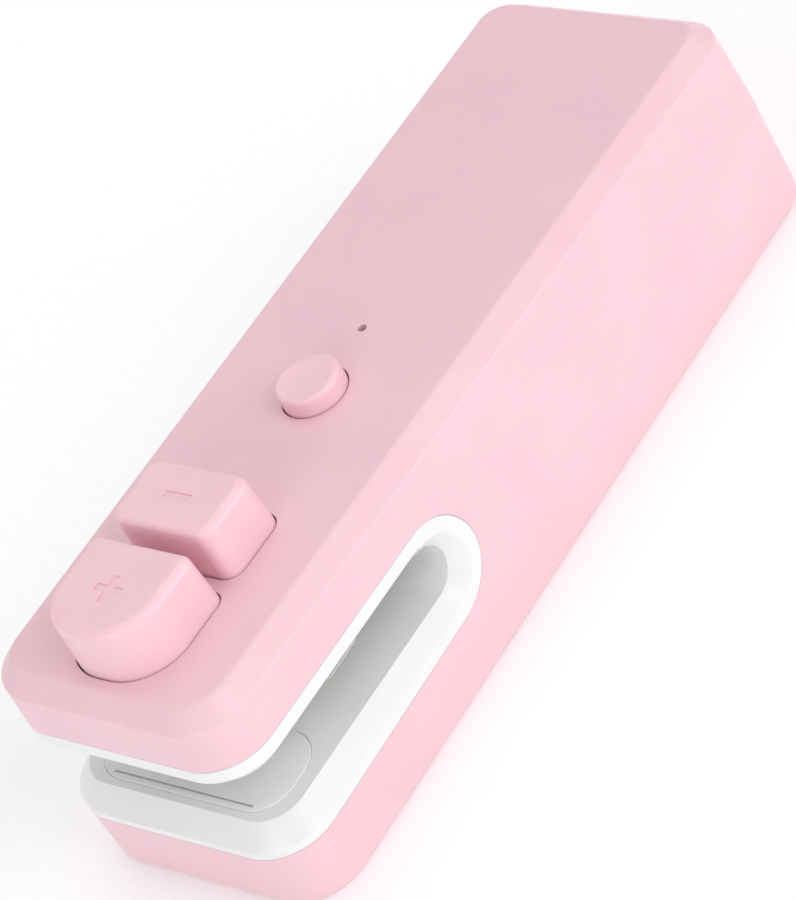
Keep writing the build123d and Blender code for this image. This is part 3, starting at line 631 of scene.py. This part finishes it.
def makeSpring(name, node):
    low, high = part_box(node)
    wire = springShape["wire"]
    radius = (high.x - low.x) / 2 - wire / 2
    centre = middle((low, high))
    ends = springShape["endTurns"]
    total = springShape["openTurns"] + 2 * ends
    endRise = ends * wire * springShape["endPitch"]
    rise = high.z - low.z - wire - 2 * endRise
    path = []
    count = round(total * springShape["stepsPerTurn"])
    for i in range(count + 1):
        turn = total * i / count
        if turn < ends:
            height = endRise * turn / ends
        elif turn > total - ends:
            height = endRise + rise + endRise * (turn - total + ends) / ends
        else:
            height = endRise + rise * (turn - ends) / springShape["openTurns"]
        angle = 2 * math.pi * turn
        path.append(Vector((centre.x + radius * math.cos(angle), centre.y + radius * math.sin(angle),
                            low.z + wire / 2 + height)))
    bm = bmesh.new()
    addWire(bm, path, wire / 2, sides=10)
    piece = makePiece(bm, name, ["musicWireDrawn"], "casing", [node])
    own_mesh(piece)


makeSpring("sealKeySpring", "seal_spring")
makeSpring("cutKeySpring", "cut_spring")
print("springs wound")

# Cross-head thread-forming screws, driven from below
screwShape = {"shank": 2.0 * mm, "core": 1.5 * mm, "pitch": 0.8 * mm, "flank": 0.3 * mm, "point": 1.2 * mm,
              "recessArm": 0.85 * mm, "recessHalf": 0.24 * mm, "recessDeep": 0.62 * mm, "steps": 48,
              "threadSteps": 24}
screwHeads = {"case_screws": 1.3 * mm, "liner_screws": 0.9 * mm, "board_screws": 1.3 * mm}


def crossRing(centre, height, size):
    ring = []
    steps = screwShape["steps"]
    for i in range(steps):
        angle = 2 * math.pi * i / steps
        turned = (angle + math.pi / 4) % (math.pi / 2) - math.pi / 4
        arm = size * screwShape["recessArm"] / math.cos(turned)
        side = size * screwShape["recessHalf"] / max(abs(math.sin(turned)), 1e-6)
        reach = max(min(arm, side), size * screwShape["recessHalf"] * 1.3)
        ring.append(Vector((centre.x + reach * math.cos(angle), centre.y + reach * math.sin(angle), height)))
    return ring


def addScrew(bm, box, headThick):
    low, high = box
    centre = middle(box)
    headRadius = (high.x - low.x) / 2
    deep = min(screwShape["recessDeep"], headThick * 0.6)
    steps = screwShape["steps"]
    core = screwShape["core"] / 2
    seat = low.z + headThick
    dome = [(0.62, 0.0), (0.8, 0.06), (0.92, 0.2), (0.985, 0.42), (1.0, 0.7), (0.985, 0.97)]
    rings = [[Vector((centre.x, centre.y, low.z + deep))], crossRing(centre, low.z + deep, 0.62),
             crossRing(centre, low.z + deep * 0.12, 0.95), crossRing(centre, low.z, 1.0)]
    rings += [circleRing(centre, headRadius * r, low.z + headThick * h, "z", steps) for r, h in dome]
    start = seat + screwShape["pitch"] / 2
    taper = high.z - screwShape["point"]
    radius = screwShape["shank"] / 2
    shank = [(radius * 0.98, seat), (radius * 0.9, start), (core, start + core / 2), (core, taper),
             (core * 0.45, high.z - 0.1 * mm)]
    rings += [circleRing(centre, r, z, "z", steps) for r, z in shank]
    rings.append([Vector((centre.x, centre.y, high.z - 0.05 * mm))])
    addRings(bm, rings)
    addThread(bm, centre, start + 0.1 * mm, high.z - 0.3 * mm, taper, core)


def addThread(bm, centre, start, end, taper, core):
    turns = (end - start) / screwShape["pitch"]
    count = round(turns * screwShape["threadSteps"])
    fade = screwShape["threadSteps"] / 2
    rings = []
    for i in range(count + 1):
        angle = 2 * math.pi * turns * i / count
        height = start + (end - start) * i / count
        shrink = 1 - 0.5 * max(0, (height - taper) / (end - taper))
        grow = min(1, i / fade, (count - i) / fade)
        root = core * shrink * 0.96
        crest = root + (screwShape["shank"] / 2 - core) * shrink * max(grow, 0.05)
        flank = screwShape["flank"] * max(grow, 0.1)
        ray = Vector((math.cos(angle), math.sin(angle), 0))
        onAxis = Vector((centre.x, centre.y, height))
        lift = Vector((0, 0, flank))
        rings.append([onAxis + ray * root - lift, onAxis + ray * crest, onAxis + ray * root + lift])
    addRings(bm, rings)


for node, headThick in screwHeads.items():
    for number, box in enumerate(solidBoxes(node), 1):
        bm = bmesh.new()
        addScrew(bm, box, headThick)
        makePiece(bm, f"{node[:-1]}.{number}", ["steelZincPlated"], "casing", [node])
print("screws cut")

# Silicone pads: cast slabs with rounded corners, a soft upper edge and a very slight crown.
# The cutting pad has a slit that the blade's edge enters.
padShape = {"edge": 0.12 * mm, "crown": 0.04 * mm, "cornerSteps": 8, "edgeSteps": 4,
            "corner": {"seal_pad": 1.0 * mm, "cutting_pad": 4.4 * mm},
            "crownRings": ((0.12, 0.45), (0.25, 0.75), (0.4, 0.95)),
            "slitHalf": 0.14 * mm, "slitDeep": 0.5 * mm, "slitSpare": 0.3 * mm}


def roundedLoop(low, high, corner, inset, height):
    steps = padShape["cornerSteps"]
    reach = max(corner - inset, 0.05 * mm)
    loop = []
    for quarter, (sx, sy) in enumerate(((1, 1), (-1, 1), (-1, -1), (1, -1))):
        cornerX = (high.x if sx > 0 else low.x) - sx * (reach + inset)
        cornerY = (high.y if sy > 0 else low.y) - sy * (reach + inset)
        for step in range(steps + 1):
            angle = math.pi / 2 * (quarter + step / steps)
            x = cornerX + reach * math.cos(angle)
            y = cornerY + reach * math.sin(angle)
            loop.append(Vector((x, y, height)))
    return loop


def addPad(bm, low, high, corner):
    edge = padShape["edge"]
    top = high.z - padShape["crown"]
    rings = [roundedLoop(low, high, corner, edge / 3, low.z)]
    rings.append(roundedLoop(low, high, corner, 0, low.z + edge / 3))
    rings.append(roundedLoop(low, high, corner, 0, top - edge))
    for k in range(1, padShape["edgeSteps"] + 1):
        angle = math.pi / 2 * k / padShape["edgeSteps"]
        inset = edge * (1 - math.cos(angle))
        rings.append(roundedLoop(low, high, corner, inset, top - edge * (1 - math.sin(angle))))
    for share, rise in padShape["crownRings"]:
        inset = edge + share * (high.x - low.x)
        rings.append(roundedLoop(low, high, corner, inset, top + padShape["crown"] * rise))
    addRings(bm, rings)


def cutSlit(pad):
    low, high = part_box("cutter_blade")
    centre = middle((low, high))
    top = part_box("cutting_pad")[1].z
    half, deep, spare = (padShape[key] for key in ("slitHalf", "slitDeep", "slitSpare"))
    bm = bmesh.new()
    addBlock(bm, (centre.x - half, low.y - spare, top - deep), (centre.x + half, high.y + spare, top + deep),
             half / 3)
    mesh = bpy.data.meshes.new("slitCutter")
    bm.to_mesh(mesh)
    bm.free()
    cutter = bpy.data.objects.new("slitCutter", mesh)
    bpy.context.scene.collection.objects.link(cutter)
    modifier = pad.modifiers.new("slit", "BOOLEAN")
    modifier.object = cutter
    modifier.solver = "EXACT"
    bpy.context.view_layer.update()
    evaluated = pad.evaluated_get(bpy.context.evaluated_depsgraph_get())
    slitMesh = bpy.data.meshes.new_from_object(evaluated)
    pad.modifiers.clear()
    pad.data = slitMesh
    bpy.data.objects.remove(cutter)
    softenEdges(pad)


for name, node in (("sealingPad", "seal_pad"), ("cuttingPad", "cutting_pad")):
    bm = bmesh.new()
    addPad(bm, *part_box(node), padShape["corner"][node])
    pad = makePiece(bm, name, ["siliconeCast"], "casing", [node])
    if node == "cutting_pad":
        cutSlit(pad)
print("pads cast")

# Foam under the cell, in four lengths: its top is hollowed by the cell, its sides bulge a little
foamShape = {"bulge": 0.12 * mm, "edge": 0.3 * mm, "across": 16, "clearOfCell": 0.08 * mm,
             "ends": ((0, 1), (0.3, 0.4), (1, 0))}


def addFoam(bm, box, cell):
    low, high = box
    cellCentre = middle(cell)
    radius = (cell[1].z - cell[0].z) / 2 + foamShape["clearOfCell"]
    half = (high.y - low.y) / 2
    edge = foamShape["edge"]
    stations = [(low.x + edge * along, inset) for along, inset in foamShape["ends"]]
    stations.append((middle(box).x, -foamShape["bulge"] / edge))
    stations += [(high.x - edge * along, inset) for along, inset in reversed(foamShape["ends"])]
    rings = []
    for x, inset in stations:
        shrink = edge * 0.5 * max(inset, 0)
        wide = half - foamShape["bulge"] - edge * 0.5 * inset
        base = wide - edge * 0.6
        ring = [Vector((x, -base, low.z + shrink)), Vector((x, base, low.z + shrink))]
        for k in range(foamShape["across"] + 1):
            y = wide - 2 * wide * k / foamShape["across"]
            top = cellCentre.z - math.sqrt(radius ** 2 - y ** 2) - shrink
            if k in (0, foamShape["across"]):
                ring.append(Vector((x, y, low.z + (top - low.z) * 0.35)))
                top -= edge * 0.4
            ring.append(Vector((x, y, top)))
            if k == foamShape["across"]:
                ring[-1], ring[-2] = ring[-2], ring[-1]
        rings.append(ring)
    addRings(bm, rings)


for number, box in enumerate(solidBoxes("battery_foam"), 1):
    bm = bmesh.new()
    addFoam(bm, box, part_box("battery_cell"))
    foam = makePiece(bm, f"cellFoam.{number}", ["evaFoamCut"], "casing", ["battery_foam"])
print("foam cut")

# Round cell: drawn can, shrunk sleeve folded over both rims, white card ring round the raised contact
cellShape = {"sleeve": 0.12 * mm, "rim": 0.7 * mm, "groove": 3.2 * mm, "grooveDeep": 0.45 * mm,
             "grooveWide": 1.2 * mm, "nub": 2.75 * mm, "nubProud": 0.8 * mm}


def makeCell():
    low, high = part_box("battery_cell")
    centre = middle((low, high))
    radius = (high.z - low.z) / 2
    nubEnd = low.x
    shoulder = nubEnd + cellShape["nubProud"]
    sleeve = cellShape["sleeve"]
    rim = cellShape["rim"]
    nub = cellShape["nub"]
    bm = bmesh.new()
    can = [(0, nubEnd), (nub * 0.8, nubEnd), (nub, nubEnd + 0.15 * mm), (nub, shoulder + 0.1 * mm),
           (radius - rim, shoulder + 0.25 * mm), (radius - rim * 0.4, shoulder + 0.1 * mm),
           (radius - sleeve, shoulder + rim),
           (radius - sleeve, high.x - rim), (radius - rim, high.x - 0.1 * mm), (0, high.x)]
    addLathe(bm, can, centre, "x", 64, 1)
    wave = []
    for k in range(9):
        dip = cellShape["grooveDeep"] * math.sin(math.pi * k / 8)
        wave.append((radius - dip, shoulder + cellShape["groove"] + cellShape["grooveWide"] * (k / 8 - 0.5)))
    skin = [(radius - rim * 1.5, shoulder + 0.12 * mm), (radius - rim * 0.9, shoulder),
            (radius - rim * 0.3, shoulder + rim * 0.2), (radius, shoulder + rim)] + wave
    skin += [(radius, high.x - rim), (radius - rim * 0.3, high.x - rim * 0.2), (radius - rim, high.x),
             (radius - rim * 2.2, high.x - 0.02 * mm), (radius - rim * 2.1, high.x - sleeve)]
    inner = [(radius - 2 * sleeve, high.x - rim), (radius - 2 * sleeve, shoulder + rim)]
    addRings(bm, [circleRing(centre, r, x, "x", 64) for r, x in skin + inner], 0, closed=True)
    ring = [(nub + 0.3 * mm, shoulder + 0.02 * mm), (radius - rim * 1.6, shoulder + 0.06 * mm),
            (radius - rim * 1.6, shoulder + 0.3 * mm), (nub + 0.3 * mm, shoulder + 0.3 * mm)]
    addRings(bm, [circleRing(centre, r, x, "x", 48) for r, x in ring], 2, closed=True)
    finishNames = ["pvcSleeveShrunk", "stainlessDrawn", "ppaLedBody"]
    makePiece(bm, "lithiumCell", finishNames, "casing", ["battery_cell"])


makeCell()
print("cell wrapped")

# Chips: epoxy body with bevelled edges, a pin-one ring level with its top, and tinned gull-wing legs
chipShape = {"pitch": 1.27 * mm, "leg": 0.42 * mm, "sheet": 0.16 * mm, "reach": 0.75 * mm, "edge": 0.12 * mm,
             "endSpare": 0.6 * mm, "standOff": 0.08 * mm, "markIn": (0.55 * mm, 0.5 * mm)}


def makeChip(number, box):
    low, high = box
    count = max(2, round((high.x - low.x - chipShape["endSpare"]) / chipShape["pitch"]))
    bm = bmesh.new()
    bodyLow = Vector((low.x, low.y + chipShape["reach"], low.z + chipShape["standOff"]))
    bodyHigh = Vector((high.x, high.y - chipShape["reach"], high.z))
    addBlock(bm, bodyLow, bodyHigh, chipShape["edge"], 0)
    mark = bodyLow + Vector((*chipShape["markIn"], 0))
    profile = [(0.3 * mm, high.z - 0.06 * mm), (0.26 * mm, high.z), (0.2 * mm, high.z),
               (0, high.z - 0.05 * mm)]
    addLathe(bm, profile, mark, "z", 20, 0)
    first = middle(box).x - chipShape["pitch"] * (count - 1) / 2
    legLevel = (low.z + high.z) / 2
    foot = low.z + chipShape["sheet"] / 2
    legBends = [(-0.2 * mm, legLevel), (0.15 * mm, legLevel), (0.3 * mm, legLevel - 0.1 * mm),
                (0.38 * mm, low.z + 0.2 * mm), (0.46 * mm, foot), (chipShape["reach"], foot)]
    for i in range(count):
        x = first + i * chipShape["pitch"]
        for side in (1, -1):
            edgeY = bodyHigh.y if side > 0 else bodyLow.y
            path = [Vector((x, edgeY + side * out, level)) for out, level in legBends]
            addRibbon(bm, path, (1, 0, 0), chipShape["leg"], chipShape["sheet"], 1)
    makePiece(bm, f"chip.{number}", ["epoxyChipMoulded", "solderReflowed"], "casing", ["board_chips"])


for number, box in enumerate(solidBoxes("board_chips"), 1):
    makeChip(number, box)

# Power inductors: ferrite drum with a varnished copper winding and two tinned feet
coilShape = {"flange": 0.24, "turns": 5, "corner": 0.5 * mm, "footLong": 0.9 * mm, "footShare": 0.2}


def makeCoil(number, box):
    low, high = box
    centre = middle(box)
    tall = high.z - low.z
    flange = coilShape["flange"] * tall
    radius = (high.x - low.x) / 2
    bm = bmesh.new()
    baseLow = (low.x, low.y, low.z + 0.05 * mm)
    addBlock(bm, baseLow, (high.x, high.y, low.z + flange), coilShape["corner"] / 3, 0)
    drum = [(0.55, 1), (0.94, 1), (1, 0.8), (1, 0.2), (0.95, 0), (0.3, 0)]
    profile = [(radius * share, high.z - flange * drop) for share, drop in drum] + [(0, high.z - 0.05 * mm)]
    addLathe(bm, profile, centre, "z", 40, 0)
    winding = [(radius * 0.5, low.z + flange * 0.95)]
    step = (tall - 2 * flange) / coilShape["turns"]
    for turn in range(coilShape["turns"]):
        for k in range(5):
            bulge = math.sin(math.pi * k / 4)
            winding.append((radius * 0.84 + step * 0.45 * bulge, low.z + flange + step * (turn + k / 4)))
    winding.append((radius * 0.5, high.z - flange * 0.95))
    addLathe(bm, winding, centre, "z", 40, 1)
    for side in (1, -1):
        x = low.x if side < 0 else high.x
        footHalf = (high.y - low.y) * coilShape["footShare"]
        ends = sorted((x, x - side * coilShape["footLong"]))
        footHigh = (ends[1], centre.y + footHalf, low.z + flange * 0.7)
        addBlock(bm, (ends[0], centre.y - footHalf, low.z), footHigh, 0.08 * mm, 2)
    finishNames = ["ferriteSintered", "copperEnamelled", "solderReflowed"]
    makePiece(bm, f"inductor.{number}", finishNames, "casing", ["board_coils"])


for number, box in enumerate(solidBoxes("board_coils"), 1):
    makeCoil(number, box)

# Ceramic capacitors: a fired block between two tinned end caps
capacitorShape = {"capShare": 0.2, "skin": 0.04 * mm, "blockEdge": 0.1 * mm, "capEdge": 0.15 * mm}


def makeCapacitor(number, box):
    low, high = box
    cap = (high.x - low.x) * capacitorShape["capShare"]
    inside = Vector((cap / 2, capacitorShape["skin"], capacitorShape["skin"]))
    bm = bmesh.new()
    addBlock(bm, low + inside, high - inside, capacitorShape["blockEdge"], 0)
    for ends in ((low.x, low.x + cap), (high.x - cap, high.x)):
        addBlock(bm, (ends[0], low.y, low.z), (ends[1], high.y, high.z), capacitorShape["capEdge"], 1, 3)
    makePiece(bm, f"capacitor.{number}", ["ceramicFired", "solderReflowed"], "casing",
              ["board_capacitors"])


for number, box in enumerate(solidBoxes("board_capacitors"), 1):
    makeCapacitor(number, box)

# Indicator: white cup, domed phosphor window, tinned ends
indicatorShape = {"endShare": 0.18, "windowRadius": 0.38 * mm, "windowHigh": 0.14 * mm, "rim": 0.12 * mm,
                  "endInset": 0.1 * mm}


def makeIndicator():
    low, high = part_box("status_led")
    centre = middle((low, high))
    end = (high.x - low.x) * indicatorShape["endShare"]
    bm = bmesh.new()
    cupHigh = (high.x - end * 0.6, high.y, high.z - indicatorShape["rim"])
    addBlock(bm, (low.x + end * 0.6, low.y, low.z), cupHigh, 0.06 * mm, 0)
    window = Vector((centre.x, centre.y, high.z - indicatorShape["windowHigh"]))
    addDome(bm, window, indicatorShape["windowRadius"], indicatorShape["windowHigh"], 1)
    inset = indicatorShape["endInset"]
    for ends in ((low.x, low.x + end), (high.x - end, high.x)):
        addBlock(bm, (ends[0], low.y + inset, low.z), (ends[1], high.y - inset, centre.z), 0.05 * mm, 2)
    finishNames = ["ppaLedBody", "phosphorSilicone", "solderReflowed"]
    makePiece(bm, "indicator", finishNames, "casing", ["status_led"])


makeIndicator()

# Push switch: black base, pressed steel lid with four staked corners, four legs
switchShape = {"lid": 0.3 * mm, "hole": 1.8 * mm, "steps": 48, "lidEdge": 0.08 * mm, "ledge": 0.1 * mm,
               "stake": 0.42 * mm, "stakeIn": 0.95 * mm, "legWide": 0.7 * mm, "legAt": 2.2 * mm}


def squareLoop(low, high, corner, height, steps):
    loop = []
    centre = middle((low, high))
    half = Vector((high.x - low.x, high.y - low.y, 0)) / 2
    for i in range(steps):
        angle = 2 * math.pi * i / steps
        ray = Vector((math.cos(angle), math.sin(angle), 0))
        reach = min(half.x / max(abs(ray.x), 1e-6), half.y / max(abs(ray.y), 1e-6), half.length - corner)
        loop.append(Vector((centre.x + ray.x * reach, centre.y + ray.y * reach, height)))
    return loop


def addPlateWithHole(bm, low, high, corner, hole, index):
    steps = switchShape["steps"]
    centre = middle((low, high))
    edge = switchShape["lidEdge"]
    inset = Vector((edge, edge, 0))
    rings = [circleRing(centre, hole, low.z, "z", steps), squareLoop(low, high, corner, low.z, steps),
             squareLoop(low, high, corner, high.z - edge, steps),
             squareLoop(low + inset, high - inset, corner, high.z, steps),
             circleRing(centre, hole, high.z, "z", steps)]
    addRings(bm, rings, index, closed=True)


def makeSwitch():
    low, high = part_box("power_switch")
    centre = middle((low, high))
    lid = high.z - switchShape["lid"]
    bm = bmesh.new()
    addBlock(bm, low, (high.x, high.y, centre.z - 0.05 * mm), 0.15 * mm, 0)
    ledge = Vector((switchShape["ledge"], switchShape["ledge"], 0))
    bodyLow = Vector((low.x, low.y, centre.z - 0.06 * mm)) + ledge
    bodyHigh = Vector((high.x, high.y, lid)) - ledge
    addPlateWithHole(bm, bodyLow, bodyHigh, 0.5 * mm, switchShape["hole"], 0)
    lidLow = Vector((low.x, low.y, lid))
    addPlateWithHole(bm, lidLow, high, 0.6 * mm, switchShape["hole"] + 0.05 * mm, 1)
    stake = switchShape["stake"]
    stakeAt = (high.x - low.x) / 2 - switchShape["stakeIn"]
    stakeProfile = [(stake, lid), (stake, high.z - 0.05 * mm), (stake * 0.7, high.z), (0, high.z)]
    legBends = [(-0.4 * mm, 0.9 * mm), (0, 0.9 * mm), (0.1 * mm, 0.8 * mm), (0.1 * mm, 0.1 * mm),
                (0.9 * mm, 0.1 * mm)]
    for sx in (1, -1):
        for sy in (1, -1):
            place = centre + Vector((sx * stakeAt, sy * stakeAt, 0))
            addLathe(bm, stakeProfile, place, "z", 16, 0)
            edge = high.y if sy > 0 else low.y
            x = centre.x + sx * switchShape["legAt"]
            path = [Vector((x, edge + sy * out, low.z + level)) for out, level in legBends]
            addRibbon(bm, path, (1, 0, 0), switchShape["legWide"], 0.15 * mm, 1)
    finishNames = ["pbtBlackMoulded", "stainlessDrawn"]
    makePiece(bm, "pushSwitch", finishNames, "casing", ["power_switch"])


makeSwitch()
print("board parts placed")

# Charging socket contacts: two rows of gold strips on the tongue, and four solder tabs on the shell
socketShape = {"contacts": 12, "pitch": 0.5 * mm, "wide": 0.28 * mm, "long": 3.6 * mm, "proud": 0.03 * mm,
               "tongue": 0.7 * mm, "tip": 0.25 * mm, "frontTab": 1.2 * mm, "rearTab": 2.6 * mm,
               "tabWide": 1.1 * mm, "tabThick": 0.25 * mm}


def makeSocketContacts():
    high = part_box("usb_tongue")[1]
    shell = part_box("usb_shell")
    level = middle(shell).z
    bm = bmesh.new()
    first = -socketShape["pitch"] * (socketShape["contacts"] - 1) / 2
    end = high.x - socketShape["tip"]
    start = end - socketShape["long"]
    half = socketShape["wide"] / 2
    face = socketShape["tongue"] / 2
    for i in range(socketShape["contacts"]):
        y = first + i * socketShape["pitch"]
        for side in (1, -1):
            levels = sorted((level + side * face * 0.9, level + side * (face + socketShape["proud"])))
            addBlock(bm, (start, y - half, levels[0]), (end, y + half, levels[1]), 0.02 * mm, 0, 1)
    makePiece(bm, "socketContacts", ["goldFlashed"], "casing")


def makeSocketTabs():
    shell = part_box("usb_shell")
    level = middle(shell).z
    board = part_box("main_board")[1].z
    bends = [(-0.05 * mm, level), (0.1 * mm, level - 0.2 * mm), (0.12 * mm, board - 0.6 * mm)]
    bm = bmesh.new()
    for x in (shell[0].x + socketShape["frontTab"], shell[1].x - socketShape["rearTab"]):
        for side in (1, -1):
            edge = shell[1].y if side > 0 else shell[0].y
            path = [Vector((x, edge + side * out, height)) for out, height in bends]
            addRibbon(bm, path, (1, 0, 0), socketShape["tabWide"], socketShape["tabThick"], 0)
            addDome(bm, Vector((x, edge + side * 0.25 * mm, board)), 0.55 * mm, 0.35 * mm, 1)
    makePiece(bm, "socketTabs", ["stainlessDrawn", "solderReflowed"], "casing")


makeSocketContacts()
makeSocketTabs()

# Solder where the heater leads meet the board and the contact tongues
solderShape = {"leadRadius": 0.6 * mm, "onBoard": (0.95 * mm, 0.55 * mm), "onTongue": (0.7 * mm, 0.45 * mm),
               "tongueIn": 0.1 * mm, "tongueThick": 0.25 * mm}


def makeSolderJoints():
    bm = bmesh.new()
    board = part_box("main_board")[1].z
    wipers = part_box("contact_wipers")
    for low, high in solidBoxes("heater_leads"):
        side = 1 if low.y > 0 else -1
        radius = solderShape["leadRadius"]
        inner = low.y + radius if side > 0 else high.y - radius
        outer = high.y - radius if side > 0 else low.y + radius
        addDome(bm, Vector((high.x - radius, inner, board)), *solderShape["onBoard"])
        joint = Vector((low.x + solderShape["tongueIn"], outer, wipers[0].z + solderShape["tongueThick"]))
        addDome(bm, joint, *solderShape["onTongue"])
    makePiece(bm, "leadSolder", ["solderReflowed"], "casing")


makeSolderJoints()
print("socket and solder done")

# Room: opal acrylic table lit faintly from below, even sky, three softboxes and a small low edge lamp
room = {
    "floorSize": 3.0, "sky": "#FFFFFF", "skyStrength": 0.6,
    "lamps": {
        "sideSoftbox": {"from": (0.1, -0.85, 0.7), "size": 0.8, "watts": 3.1},
        "edgeLamp": {"from": (0.43, -0.89, 0.05), "size": 0.06, "watts": 1.3},
        "topSoftbox": {"from": (0.35, 0.3, 1.1), "size": 0.9, "watts": 2.6},
        "frontSoftbox": {"from": (-1.0, -0.25, 0.4), "size": 0.7, "watts": 2.7},
    },
}


def makeFloor():
    half = room["floorSize"] / 2
    mesh = bpy.data.meshes.new("opalTable")
    corners = [(-half, -half, 0), (half, -half, 0), (half, half, 0), (-half, half, 0)]
    mesh.from_pydata(corners, [], [(0, 1, 2, 3)])
    floor = bpy.data.objects.new("opalTable", mesh)
    bpy.context.scene.collection.objects.link(floor)
    glow = {"IOR": 1.49, "Specular IOR Level": 0.2, "Emission Strength": 0.12,
            "Emission Color": hexToLinear("#FFFFFF")}
    material, tree, shader, place = startMaterial("acrylicOpalLit", glow)
    fibre = noiseAt(tree, place, 1.2, 3.0)
    tint = colourRamp(tree, fibre, [(0.3, "#F6F6F6"), (0.7, "#FAFAFA")])
    tree.links.new(tint, shader.inputs["Base Color"])
    tree.links.new(rangeOf(tree, fibre, 0.85, 0.95), shader.inputs["Roughness"])
    mesh.materials.append(material)


def makeLamps():
    aim = (cadBounds[0] + cadBounds[1]) / 2
    for name, lamp in room["lamps"].items():
        light = bpy.data.lights.new(name, "AREA")
        light.shape = "DISK"
        light.size = lamp["size"]
        light.energy = lamp["watts"]
        holder = bpy.data.objects.new(name, light)
        holder.location = lamp["from"]
        holder.rotation_euler = (aim - holder.location).to_track_quat("-Z", "Y").to_euler()
        bpy.context.scene.collection.objects.link(holder)


def makeSky():
    world = bpy.data.worlds.new("studioSky")
    world.use_nodes = True
    background = world.node_tree.nodes["Background"]
    background.inputs["Color"].default_value = hexToLinear(room["sky"])
    background.inputs["Strength"].default_value = room["skyStrength"]
    bpy.context.scene.world = world


# Camera: a long lens looking down at about 39 degrees, rolled so that the jaws hang low
shot = {"azimuth": -33.76, "elevation": 39.43, "roll": -32.86, "distance": 0.502, "lens": 182.0,
        "aim": (-0.0030, 0.0006, 0.0134)}


def makeCamera():
    azimuth, elevation, roll = (math.radians(shot[key]) for key in ("azimuth", "elevation", "roll"))
    forward = Vector((-math.sin(azimuth) * math.cos(elevation), math.cos(azimuth) * math.cos(elevation),
                      -math.sin(elevation)))
    level = forward.cross(Vector((0, 0, 1))).normalized()
    right = math.cos(roll) * level + math.sin(roll) * level.cross(forward)
    camera = bpy.data.objects.new("camera", bpy.data.cameras.new("camera"))
    camera.data.lens = shot["lens"]
    camera.data.clip_end = 10
    place = Vector(shot["aim"]) - forward * shot["distance"]
    axes = Matrix((right, right.cross(forward), -forward)).transposed()
    camera.matrix_world = Matrix.Translation(place) @ axes.to_4x4()
    bpy.context.scene.collection.objects.link(camera)
    bpy.context.scene.camera = camera


makeFloor()
makeLamps()
makeSky()
makeCamera()
bpy.context.scene.view_settings.view_transform = "Standard"
print("room, lamps and camera ready")
